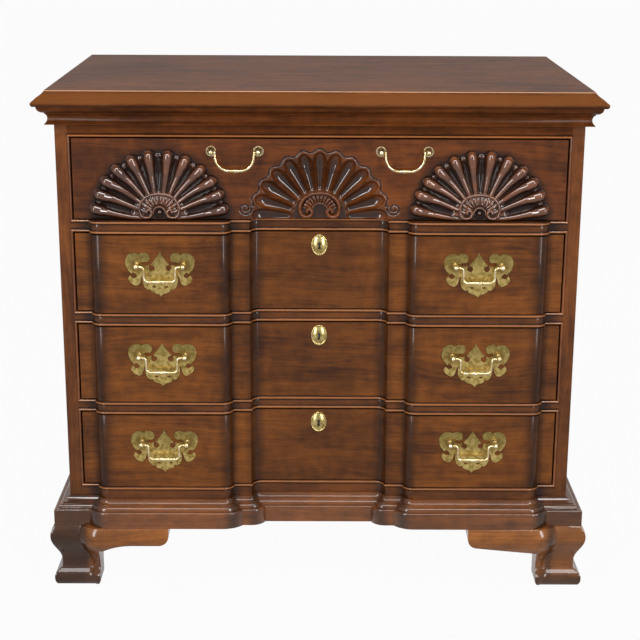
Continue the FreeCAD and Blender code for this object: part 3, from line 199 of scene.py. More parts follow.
@dataclass(frozen=True)
class RaisedShell:
    """Applied shell of twelve rounded lobes with narrow hollows between them, in mm.

    Args:
        bulbs: Angles of the right half's lobes at their outer ends, in degrees.
        roots: Angles of the same lobes beside the scroll.
        widths: Radii, and half a lobe's width at each.
        crests: Radii, and a lobe's height at each.
        hollows: Radii, and the hollows' height at each.
    """

    bulbs: tuple[float, ...] = (9.4, 23.0, 36.3, 50.3, 66.0, 81.6)
    roots: tuple[float, ...] = (3.5, 26.0, 43.0, 55.5, 67.5, 80.3)
    widths: tuple[tuple[float, ...], ...] = (
        (30, 36, 50, 75, 88, 96, 102),
        (4.3, 4.8, 5.6, 6.9, 8.8, 10.8, 11.1),
    )
    crests: tuple[tuple[float, ...], ...] = (
        (30, 36, 50, 75, 84, 90, 96, 101),
        (7.5, 8, 9.4, 10.2, 11.4, 13.6, 16, 16.6),
    )
    hollows: tuple[tuple[float, ...], ...] = ((30, 98, 104), (2.0, 2.2, 4.2))

    def height(self, r: np.ndarray, turn: np.ndarray) -> tuple[np.ndarray, np.ndarray]:
        """Work out how far the shell stands proud of the drawer's face, and how dark its glazing and painted
        shade are.

        Args:
            r: Distance from the shell's middle.
            turn: Angle up from the drawer's foot, in degrees.

        Returns:
            Heights in mm, below 0 outside the shell, and glazing and painted shade from 0 to 1.
        """
        turn = np.where(turn > 90, 180 - turn, turn)
        along = np.clip((r - 36) / 69, 0, 1)
        end = dome(np.clip((r - 105.2) / 9.3, 0, 1))
        half = np.interp(r, *self.widths) * end
        crest = np.interp(r, *self.crests) * end
        edge = np.full(r.shape, 1e6)
        lobes = np.full(r.shape, -1.0)
        flank = np.full(r.shape, 1.0)
        # The last pair is the first lobe past the middle, which the mirrored half leans on.
        for bulb, root in zip((*self.bulbs, 98.4), (*self.roots, 99.7)):
            centre = root + (bulb - root) * along
            off = np.abs(r * np.radians(turn - centre))
            round_lobe = crest * dome(off / np.maximum(half, 0.01)) ** 1.15
            lobes = np.maximum(lobes, np.where(off < half, round_lobe, -1.0))
            edge = np.minimum(edge, off - half)
            flank = np.minimum(flank, off / np.maximum(half, 0.01))
        near = np.exp(-np.clip(edge, 0, None) / 1.3)
        floor = np.interp(r, *self.hollows) * dome(np.clip((r - 103) / 6.0, 0, 1))
        floor = floor + 2.2 * near * (1 - ramp(r, 103, 108))
        collar = 6.2 * (1 - ramp(r, 42.0, 47.0)) + floor * ramp(r, 42.0, 47.0)
        low = self.roots[0] + (self.bulbs[0] - self.roots[0]) * along
        inside = (r < 109.0) & (turn > low - np.degrees(4.5 / np.maximum(r, 1)))
        ground = np.where(inside, np.maximum(floor, collar), -0.6)
        high = np.maximum(lobes, ground)
        # Painted shade: each lobe darkens down its flanks, and the hollows between the lobes go near black.
        side = 0.92 * ramp(flank, 0.30, 0.84) * (flank < 1)
        dark = np.maximum(0.96 * (1 - ramp(high, 3.2, 5.6)), side)
        return high, np.clip(dark, 0, 1)


@dataclass(frozen=True)
class SunkShell:
    """Shell carved into the drawer's face: hollow flutes, a scalloped line and two volutes, in mm.

    Args:
        pitch: Angle from one flute to the next, in degrees.
        first: Angle of the lowest flute's middle, in degrees.
        end: Radius where the flutes start to close.
        arrises: Radii, and the depth of the edges between the flutes at each.
        floors: Radii, and the depth of the flutes at each.
        scallop: Radius of the scalloped line.
        wave: How far the line waves in and out.
    """

    pitch: float = 14.4
    first: float = 18.0
    end: float = 88.0
    arrises: tuple[tuple[float, ...], ...] = ((36, 51, 75, 92, 102, 110), (9.5, 7.6, 4.4, 2.0, 0.7, 0))
    floors: tuple[tuple[float, ...], ...] = ((40, 50, 60, 75, 88), (12, 13.6, 13.6, 12.8, 11.6))
    scallop: float = 112.4
    wave: float = 2.9

    def spiral(self) -> list[tuple[float, float]]:
        """Give the line of the right volute, from where the scalloped line reaches it."""
        turns = [math.radians(150 + 17.5 * step) for step in range(33)]
        radii = [11.4 - 8.9 * step / 32 for step in range(33)]
        curl = [(121 + r * math.cos(a), 16.4 + r * math.sin(a)) for r, a in zip(radii, turns)]
        return [(108.0, 21.5), *curl]

    def depth(self, r: np.ndarray, turn: np.ndarray) -> tuple[np.ndarray, np.ndarray]:
        """Work out the carving's depth under the drawer's face, and how dark its glazing and painted shade
        are.

        Args:
            r: Distance from the shell's middle.
            turn: Angle up from the drawer's foot, in degrees.

        Returns:
            Depths in mm, and glazing and painted shade from 0 to 1.
        """
        beat = (turn - self.first) / self.pitch
        u = 2 * (beat - np.floor(beat + 0.5))
        arris = np.interp(r, *self.arrises)
        floor = np.interp(r, *self.floors)
        q = u**2 + (np.clip(r - self.end, 0, None) / 22.6) ** 2 + (np.clip(51 - r, 0, None) / 7.0) ** 2
        bowl = 0.5 * dome(np.sqrt(q)) + 0.5 * np.clip(1 - q, 0, None)
        depth = arris + (floor - arris) * bowl
        # Painted shade: the flutes' floors, the strips beside their edges and the ring round the hub go dark.
        rim = np.exp(-(((np.abs(u) - 0.93) / 0.06) ** 2))
        dark = 0.08 + 0.72 * ramp(bowl, 0.55, 0.98) + 0.5 * rim * (1 - ramp(r, 94, 102))
        dark = dark * (1 - ramp(r, 108.0, 113.0))
        dark = np.maximum(dark, 0.8 * (1 - ramp(r, 42.0, 47.0)))
        line = self.scallop + self.wave * np.cos(np.pi * u)
        x = np.abs(r * np.cos(np.radians(turn)))
        z = r * np.sin(np.radians(turn))
        off = np.where(np.minimum(turn, 180 - turn) > 10.8, np.abs(r - line), 1e6)
        near = (x > 100) & (z < 36)
        curl = np.full(r.shape, 1e6)
        curl[near] = distance(x[near], z[near], self.spiral())
        off = np.minimum(off, curl)
        depth = depth + 1.5 * np.exp(-((off / 1.0) ** 2)) + 0.4 * (1 - ramp(off, 1.0, 3.6)) * (r > 104)
        # Painted shade along the incised line and the volutes.
        dark = np.clip(np.maximum(dark, 0.97 * np.exp(-((off / 1.5) ** 2))), 0, 1)
        return depth, dark


@dataclass
class Sheet:
    """Grid of mesh that is bent into place point by point, then closed at its back.

    Args:
        name: The mesh's name.
        columns: Points across the grid.
        rows: Points up the grid.
    """

    name: str
    columns: int
    rows: int

    def place(self, points: np.ndarray, glaze_and_shade: np.ndarray, back: float) -> bpy.types.Mesh:
        """Make the grid, put its points in place and close it.

        Args:
            points: Places as rows, columns and x, y, z, in metres.
            glaze_and_shade: Dark glazing and painted shade at the same points.
            back: Y of the flat back, in metres.

        Returns:
            The closed mesh.
        """
        grid = bmesh.new()
        bmesh.ops.create_grid(grid, x_segments=self.columns - 1, y_segments=self.rows - 1, size=1.0)
        mesh = bpy.data.meshes.new(self.name)
        grid.to_mesh(mesh)
        flat = np.empty(len(mesh.vertices) * 3)
        mesh.vertices.foreach_get("co", flat)
        flat = flat.reshape(-1, 3)
        column = np.rint((flat[:, 0] + 1) / 2 * (self.columns - 1)).astype(int)
        row = np.rint((flat[:, 1] + 1) / 2 * (self.rows - 1)).astype(int)
        mesh.vertices.foreach_set("co", points[row, column].ravel())
        # The points' glazing and painted shade.
        layer = mesh.attributes.new("glaze_and_shade", "FLOAT", "POINT")
        layer.data.foreach_set("value", glaze_and_shade[row, column])
        grid.clear()
        grid.from_mesh(mesh)
        bmesh.ops.remove_doubles(grid, verts=grid.verts, dist=1e-6)
        rim = [edge for edge in grid.edges if edge.is_boundary]
        grown = bmesh.ops.extrude_edge_only(grid, edges=rim)["geom"]
        for vert in grown:
            if isinstance(vert, bmesh.types.BMVert):
                vert.co.y = back
        rim = [edge for edge in grid.edges if edge.is_boundary]
        bmesh.ops.holes_fill(grid, edges=rim, sides=0)
        bmesh.ops.recalc_face_normals(grid, faces=grid.faces)
        for face in grid.faces:
            face.smooth = len(face.verts) == 4
        grid.to_mesh(mesh)
        grid.free()
        mesh.set_sharp_from_angle(angle=math.radians(50))
        return mesh


class Grain(Enum):
    """The direction that a board's grain runs in."""

    ALONG_X = 0
    ALONG_Y = 1
    ALONG_Z = 2

    def scale(self, stretch: float) -> list[float]:
        """Give the scale on each axis that draws a pattern out along the grain."""
        return [1 / stretch if axis == self.value else 1.0 for axis in range(3)]


def linear(colour: str) -> tuple[float, float, float, float]:
    """Turn an sRGB hex colour to linear RGBA.

    Args:
        colour: Six hex digits after a #.

    Returns:
        Linear red, green, blue and an alpha of 1.
    """
    parts = [int(colour[i : i + 2], 16) / 255 for i in (1, 3, 5)]
    return (*[c / 12.92 if c <= 0.04045 else ((c + 0.055) / 1.055) ** 2.4 for c in parts], 1.0)


def add(tree: bpy.types.NodeTree, kind: str, links: dict, **settings: object) -> bpy.types.Node:
    """Add a node with its settings, and link or set its inputs.

    Args:
        tree: The node tree.
        kind: The node's type name, without the ShaderNode that all of them start with.
        links: Input name or number to a plain value, a socket, or a node whose first output is meant.
        settings: The node's own properties.

    Returns:
        The new node.
    """
    node = tree.nodes.new(f"ShaderNode{kind}")
    for name, value in settings.items():
        setattr(node, name, value)
    for key, value in links.items():
        if isinstance(value, bpy.types.Node):
            value = next(socket for socket in value.outputs if socket.enabled)
        if isinstance(value, bpy.types.NodeSocket):
            tree.links.new(value, node.inputs[key])
        else:
            node.inputs[key].default_value = value
    return node


def gap(
    tree: bpy.types.NodeTree, value: bpy.types.Node | bpy.types.NodeSocket, place: float
) -> bpy.types.Node:
    """Measure how far a value is from a place.

    Args:
        tree: The node tree.
        value: Node or socket that gives the value.
        place: The place.

    Returns:
        The node that gives the distance.
    """
    off = add(tree, "Math", {0: value, 1: place}, operation="SUBTRACT")
    return add(tree, "Math", {0: off}, operation="ABSOLUTE")


@dataclass(frozen=True)
class GlazeAndShade:
    """A soft dark band of glazing and painted shade at the same distance each side of the chest's middle.

    Args:
        place: Distance of the band's centre from the middle, in metres.
        reach: Distance over which it fades, in metres.
        depth: How dark it is, from 0 to 1.
    """

    place: float
    reach: float
    depth: float


@dataclass(frozen=True)
class Ridges:
    """Small beads with a painted highlight along their crests and painted shade in the quirks beside them.

    Args:
        places: Heights of the beads' crests, in metres.
        crest: Half the width of the painted highlight, in metres.
        quirk: Distance from a crest to the painted dark line of shade in the quirk, in metres.
        share: How much of the painted highlight shows.
    """

    places: tuple[float, ...]
    crest: float = 0.0016
    quirk: float = 0.0031
    share: float = 0.38


# Heights of the rail beads that get a painted highlight and painted shade in their quirks.
RAIL_RIDGES = Ridges((0.1743, 0.3105, 0.3268, 0.4645, 0.4808, 0.6195, 0.6358))
# Glazing and painted shade on the rails: their flat ends, the blocks' inner edges and the recess coves
# darkened where shade falls.
RAIL_GLAZE_AND_SHADE = (GlazeAndShade(0.3800, 0.022, 0.80), GlazeAndShade(0.1430, 0.020, 0.70), GlazeAndShade(0.1080, 0.018, 0.60))
# Glazing and painted shade on the drawer fronts: the recessed middle, the blocks' edges and the recess coves
# darkened where shade falls.
BLOCK_GLAZE_AND_SHADE = (
    GlazeAndShade(0.0, 0.17, 0.32),
    GlazeAndShade(0.3640, 0.024, 0.74),
    GlazeAndShade(0.1520, 0.021, 0.64),
    GlazeAndShade(0.1060, 0.026, 0.58),
)


@dataclass(frozen=True)
class Mahogany:
    """Stained mahogany under semi-gloss lacquer: streaky red-brown with fine dark pores.

    Args:
        name: The material's name.
        grain: Direction of the grain.
        pale: Colour of the pale streaks.
        dark: Colour of the dark streaks.
        shift: Where in the figure the board is cut, in metres.
        glaze_and_shade: Dark bands of glazing and painted shade beside the blocks' edges and in the recesses.
        ridges: Beads with a painted highlight on their crests and painted shade beside them, or None.
        painted_highlight: Colour of the painted highlight on the beads.
        arris: Height of an edge with a painted highlight line, in metres, or 0 for none.
        outer: Distances from the middle where the ends start to darken with painted shade and where they
            stop, in metres, and how dark they get, or None.
        low_shade: Heights where the piece is darkest with painted shade towards the floor and where it is no
            longer dark, in metres, and how dark it gets, or None.
        roughness: Roughness of the wood under its lacquer.
        attribute: Name of the mesh's own glazing and painted shade, or nothing.
        shadow_halo: How far painted shadow spreads round the applied shells, in metres, or 0 for none.
        specular: Specular level of the wood under its lacquer.
        coat: Weight of the lacquer.
        gloss: Roughness of the lacquer.
        film: Index of refraction of the lacquer.
        thin: Share of the lacquer that lies where the mesh's own glazing and painted shade are darkest, which
            dims or strengthens the reflections there.
    """

    name: str
    grain: Grain
    pale: str = "#7E4819"
    dark: str = "#3A1D0B"
    shift: float = 0.0
    glaze_and_shade: tuple[GlazeAndShade, ...] = ()
    ridges: Ridges | None = None
    # Colour of the painted highlight on bead crests.
    painted_highlight: str = "#D0864C"
    arris: float = 0.0
    outer: tuple[float, float, float] | None = None
    low_shade: tuple[float, float, float] | None = None
    roughness: float = 0.34
    attribute: str = ""
    shadow_halo: float = 0.0
    specular: float = 0.14
    coat: float = 0.25
    gloss: float = 0.11
    film: float = 1.5
    thin: float = 1.0

    def build(self) -> bpy.types.Material:
        """Make the material.

        Returns:
            The material, with its pattern on Object coordinates.
        """
        material = bpy.data.materials.new(self.name)
        material.use_nodes = True
        tree = material.node_tree
        shader = tree.nodes["Principled BSDF"]
        spot = add(tree, "TexCoord", {}).outputs["Object"]
        wood, lines, pores = self.figure(tree, spot)
        shade = self.shade(tree, spot)
        if shade is not None:
            # Lay the dark glazing and painted shade over the wood.
            wood = add(tree, "Mix", {0: shade, 6: wood, 7: linear(GLAZE_AND_SHADE_COLOUR)}, data_type="RGBA")
        if self.ridges is not None:
            wood = self.paint_bead_light(tree, spot, wood)
        tree.links.new(wood.outputs[2], shader.inputs["Base Color"])
        rough = add(tree, "Math", {0: lines, 1: 0.12, 2: self.roughness - 0.06}, operation="MULTIPLY_ADD")
        tree.links.new(rough.outputs[0], shader.inputs["Roughness"])
        bump = add(tree, "Bump", {"Height": pores, "Strength": 0.05, "Distance": 0.0004})
        tree.links.new(bump.outputs[0], shader.inputs["Normal"])
        shader.inputs["IOR"].default_value = 1.5
        shader.inputs["Specular IOR Level"].default_value = self.specular
        shader.inputs["Coat Weight"].default_value = self.coat
        shader.inputs["Coat Roughness"].default_value = self.gloss
        shader.inputs["Coat IOR"].default_value = self.film
        if self.thin != 1:
            own = add(tree, "Attribute", {}, attribute_name=self.attribute).outputs["Fac"]
            least = self.coat * self.thin
            span = {"From Min": 0.25, "From Max": 0.95, "To Min": self.coat, "To Max": least}
            lacquer = add(tree, "MapRange", {"Value": own, **span})
            tree.links.new(lacquer.outputs[0], shader.inputs["Coat Weight"])
        return material

    def figure(
        self, tree: bpy.types.NodeTree, spot: bpy.types.NodeSocket
    ) -> tuple[bpy.types.Node, bpy.types.Node, bpy.types.Node]:
        """Draw the wood's figure: streaks, mottle, fine lines and pores.

        Args:
            tree: The material's tree.
            spot: The Object coordinates.

        Returns:
            The node with the wood's colour, the fine lines and the pores.
        """
        start = [self.shift, self.shift * 0.37, self.shift * 0.71]
        place = add(tree, "Mapping", {"Vector": spot, "Location": start, "Scale": self.grain.scale(3)})
        wander = add(tree, "TexNoise", {"Vector": place, "Scale": 1 / 0.11, "Detail": 2.0}).outputs["Color"]
        sway = (0.055, 0.055, 0.055)
        bent = add(tree, "VectorMath", {0: wander, 1: sway, 2: spot}, operation="MULTIPLY_ADD")
        drawn = []
        # Streaks of 26 mm, mottle of 21 mm and lines of 4.5 mm. Real pores are about 0.2 mm wide,
        # too fine to show, so they are drawn 1.3 mm wide.
        for stretch, width, detail in (
            (5.5, 0.026, {"Detail": 5.0, "Roughness": 0.6}),
            (0.8, 0.021, {"Detail": 3.0}),
            (45, 0.0045, {"Detail": 2.0}),
            (16, 0.0013, {"Detail": 1.0}),
        ):
            scale = self.grain.scale(stretch)
            place = add(tree, "Mapping", {"Vector": bent, "Location": start, "Scale": scale})
            drawn.append(add(tree, "TexNoise", {"Vector": place, "Scale": 1 / width, **detail}))
        streaks, mottle, lines, pores = drawn
        patches = add(tree, "TexNoise", {"Vector": bent, "Scale": 1 / 0.16, "Detail": 1.0})
        tone = add(tree, "Math", {0: streaks, 1: 0.78, 2: -0.38}, operation="MULTIPLY_ADD")
        for pattern, share in ((mottle, 0.40), (lines, 0.42), (patches, 0.55)):
            tone = add(tree, "Math", {0: pattern, 1: share, 2: tone}, operation="MULTIPLY_ADD")
        tone = add(
            tree,
            "MapRange",
            {"Value": tone, "From Min": 0.33, "From Max": 1.12},
            interpolation_type="SMOOTHSTEP",
        )
        colours = {6: linear(self.dark), 7: linear(self.pale)}
        wood = add(tree, "Mix", {0: tone, **colours}, data_type="RGBA")
        pore = add(tree, "MapRange", {"Value": pores, "From Min": 0.60, "From Max": 0.74, "To Max": 0.34})
        wood = add(tree, "Mix", {0: pore, 6: wood, 7: linear("#1E0D07")}, data_type="RGBA")
        return wood, lines, pores

    def paint_bead_light(
        self, tree: bpy.types.NodeTree, spot: bpy.types.NodeSocket, wood: bpy.types.Node
    ) -> bpy.types.Node:
        """Paint highlights on the beads' crests and dark lines of shade in the quirks beside them.

        Args:
            tree: The material's tree.
            spot: The Object coordinates.
            wood: The node whose colour they lie on.

        Returns:
            The node with the finished colour.
        """
        # Painted highlight along the beads' crests.
        height = add(tree, "SeparateXYZ", {0: spot}).outputs[2]
        nearest = gap(tree, height, self.ridges.places[0])
        for place in self.ridges.places[1:]:
            nearest = add(tree, "Math", {0: nearest, 1: gap(tree, height, place)}, operation="MINIMUM")
        span = {"From Min": self.ridges.crest * 0.4, "From Max": self.ridges.crest}
        crest = add(
            tree,
            "MapRange",
            {"Value": nearest, **span, "To Min": self.ridges.share, "To Max": 0.0},
            interpolation_type="SMOOTHSTEP",
        )
        # Painted shade in the quirks beside the beads.
        away = gap(tree, nearest, self.ridges.quirk)
        quirk = add(
            tree,
            "MapRange",
            {"Value": away, "From Min": 0.0003, "From Max": 0.0011, "To Min": 0.8, "To Max": 0.0},
            interpolation_type="SMOOTHSTEP",
        )
        wood = add(tree, "Mix", {0: quirk, 6: wood, 7: linear(GLAZE_AND_SHADE_COLOUR)}, data_type="RGBA")
        # Painted highlight line along the arris.
        if self.arris:
            off = gap(tree, height, self.arris)
            span = {"From Min": 0.0003, "From Max": 0.00055, "To Min": 0.85, "To Max": 0.0}
            bright = add(tree, "MapRange", {"Value": off, **span})
            crest = add(tree, "Math", {0: crest, 1: bright}, operation="SUBTRACT", use_clamp=True)
            wood = add(tree, "Mix", {0: bright, 6: wood, 7: linear("#E8B48C")}, data_type="RGBA")
        return add(tree, "Mix", {0: crest, 6: wood, 7: linear(self.painted_highlight)}, data_type="RGBA")

    def shade(
        self, tree: bpy.types.NodeTree, spot: bpy.types.NodeSocket
    ) -> bpy.types.Node | bpy.types.NodeSocket | None:
        """Work out how much dark glazing and painted shade lies at each spot.

        Args:
            tree: The material's tree.
            spot: The Object coordinates.

        Returns:
            What gives the glazing and painted shade from 0 to 1, or None where the finish has none.
        """
        x, _, z = add(tree, "SeparateXYZ", {0: spot}).outputs
        across = add(tree, "Math", {0: x}, operation="ABSOLUTE")
        shades = []
        if self.attribute:
            shades.append(add(tree, "Attribute", {}, attribute_name=self.attribute).outputs["Fac"])
        faded = []
        # Painted shadow round the applied shells' outlines.
        if self.shadow_halo:
            place = add(tree, "CombineXYZ", {0: across, 2: z})
            middle = (SHELL_X, 0.0, SHELL_Z)
            reach = add(tree, "VectorMath", {0: place, 1: middle}, operation="DISTANCE")
            faded.append((reach, 0.1035, 0.1135 + self.shadow_halo, 0.95, 0.0))
        # Painted shade on the ends.
        if self.outer:
            faded.append((across, self.outer[0], self.outer[1], 0.0, self.outer[2]))
        # Painted shade towards the floor.
        if self.low_shade:
            faded.append((z, self.low_shade[0], self.low_shade[1], self.low_shade[2], 0.0))
        # Bands of glazing and painted shade at fixed distances from the middle.
        for band in self.glaze_and_shade:
            faded.append((gap(tree, across, band.place), 0.0, band.reach, band.depth, 0.0))
        for value, near, far, start, stop in faded:
            ends = {"From Min": near, "From Max": far, "To Min": start, "To Max": stop}
            shades.append(
                add(tree, "MapRange", {"Value": value, **ends}, interpolation_type="SMOOTHSTEP")
            )
        total = shades[0] if shades else None
        for shade in shades[1:]:
            total = add(tree, "Math", {0: total, 1: shade}, operation="MAXIMUM")
        return total


@dataclass(frozen=True)
class PlainWood:
    """Bare sanded secondary wood inside the chest: pale tan with faint streaks.

    Args:
        name: The material's name.
        grain: Direction of the grain.
        pale: Colour of the early wood.
        dark: Colour of the late wood.
        boards: Height of the boards that it is glued up from, in metres, or 0 where no joint shows.
    """

    name: str
    grain: Grain
    pale: str = "#CBA878"
    dark: str = "#9A7244"
    boards: float = 0.0

    def build(self) -> bpy.types.Material:
        """Make the material, with streaks of 12 mm and veins of 3.5 mm.

        Returns:
            The material.
        """
        material = bpy.data.materials.new(self.name)
        material.use_nodes = True
        tree = material.node_tree
        shader = tree.nodes["Principled BSDF"]
        spot = add(tree, "TexCoord", {}).outputs["Object"]
        place = add(tree, "Mapping", {"Vector": spot, "Scale": self.grain.scale(14)})
        streak = {"Scale": 1 / 0.012, "Detail": 5.0, "Distortion": 0.4}
        streaks = add(tree, "TexNoise", {"Vector": place, **streak})
        veins = add(tree, "TexNoise", {"Vector": place, "Scale": 1 / 0.0035, "Detail": 2.0})
        patches = add(tree, "TexNoise", {"Vector": spot, "Scale": 1 / 0.13, "Detail": 2.0})
        tone = add(tree, "Math", {0: veins, 1: 0.5, 2: -0.5}, operation="MULTIPLY_ADD")
        tone = add(tree, "Math", {0: patches, 1: 0.9, 2: tone}, operation="MULTIPLY_ADD")
        tone = add(tree, "Math", {0: tone, 1: streaks}, operation="ADD")
        tone = add(tree, "MapRange", {"Value": tone, "From Min": 0.35, "From Max": 1.0})
        colours = {6: linear(self.dark), 7: linear(self.pale)}
        wood = add(tree, "Mix", {0: tone, **colours}, data_type="RGBA")
        if self.boards:
            height = add(tree, "SeparateXYZ", {0: spot}).outputs[2]
            beat = add(tree, "Math", {0: height, 1: self.boards / 2}, operation="PINGPONG")
            span = {"From Min": 0.0004, "From Max": 0.0016, "To Min": 0.85, "To Max": 0.0}
            seam = add(tree, "MapRange", {"Value": beat, **span})
            wood = add(tree, "Mix", {0: seam, 6: wood, 7: linear("#2A1B0E")}, data_type="RGBA")
        tree.links.new(wood.outputs[2], shader.inputs["Base Color"])
        bump = add(tree, "Bump", {"Height": streaks, "Strength": 0.15, "Distance": 0.0005})
        tree.links.new(bump.outputs[0], shader.inputs["Normal"])
        shader.inputs["Roughness"].default_value = 0.62
        return material


@dataclass(frozen=True)
class Metal:
    """Polished cast brass, or plain steel, that has dulled a little in patches.

    Args:
        name: The material's name.
        bright: Colour of the polished metal.
        dull: Colour where it has dulled.
        roughness: Roughness of the polished metal.
        post_z: Height of the posts that painted brown shade lies round, in metres, or 0 for none.
    """

    name: str
    bright: str = "#FBEDC6"
    dull: str = "#CDB478"
    roughness: float = 0.17
    post_z: float = 0.0

    def build(self) -> bpy.types.Material:
        """Make the material, with stains of 6 mm and a cast skin of 2 mm.

        Returns:
            The material.
        """
        material = bpy.data.materials.new(self.name)
        material.use_nodes = True
        tree = material.node_tree
        shader = tree.nodes["Principled BSDF"]
        spot = add(tree, "TexCoord", {}).outputs["Object"]
        cloud = {"Scale": 1 / 0.006, "Detail": 4.0, "Roughness": 0.6}
        stain = add(tree, "TexNoise", {"Vector": spot, **cloud})
        mask = add(tree, "MapRange", {"Value": stain, "From Min": 0.36, "From Max": 0.62})
        colours = {6: linear(self.dull), 7: linear(self.bright)}
        metal = add(tree, "Mix", {0: mask, **colours}, data_type="RGBA")
        # Painted brown shade round the posts.
        if self.post_z:
            metal = self.post_shade(tree, spot, metal)
        tree.links.new(metal.outputs[2], shader.inputs["Base Color"])
        ends = {"To Min": self.roughness + 0.12, "To Max": self.roughness - 0.06}
        rough = add(tree, "MapRange", {"Value": stain, **ends})
        tree.links.new(rough.outputs[0], shader.inputs["Roughness"])
        skin = add(tree, "TexNoise", {"Vector": spot, "Scale": 1 / 0.0021, "Detail": 2.0})
        bump = add(tree, "Bump", {"Height": skin, "Strength": 0.05, "Distance": 0.0003})
        tree.links.new(bump.outputs[0], shader.inputs["Normal"])
        shader.inputs["Metallic"].default_value = 1.0
        return material

    def post_shade(
        self, tree: bpy.types.NodeTree, spot: bpy.types.NodeSocket, metal: bpy.types.Node
    ) -> bpy.types.Node:
        """Paint brown shade on the plates round their posts and darken them towards their tops.

        Args:
            tree: The material's tree.
            spot: The Object coordinates.
            metal: The node with the clean metal's colour.

        Returns:
            The node with the colour under the painted shade.
        """
        x, _, z = add(tree, "SeparateXYZ", {0: spot}).outputs
        across = add(tree, "Math", {0: x}, operation="ABSOLUTE")
        place = add(tree, "CombineXYZ", {0: gap(tree, across, SHELL_X), 2: z})
        post = (POST_X, 0.0, self.post_z)
        reach = add(tree, "VectorMath", {0: place, 1: post}, operation="DISTANCE")
        ring = add(
            tree,
            "MapRange",
            {"Value": reach, "From Min": 0.004, "From Max": 0.017, "To Min": 0.85, "To Max": 0.0},
            interpolation_type="SMOOTHSTEP",
        )
        metal = add(tree, "Mix", {0: ring, 6: metal, 7: linear("#7A5A2C")}, data_type="RGBA")
        span = {"From Min": self.post_z - 0.012, "From Max": self.post_z + 0.022}
        high = add(tree, "MapRange", {"Value": z, **span, "To Max": 0.72})
        return add(tree, "Mix", {0: high, 6: metal, 7: linear("#75683A")}, data_type="RGBA")


Finish = Mahogany | PlainWood | Metal


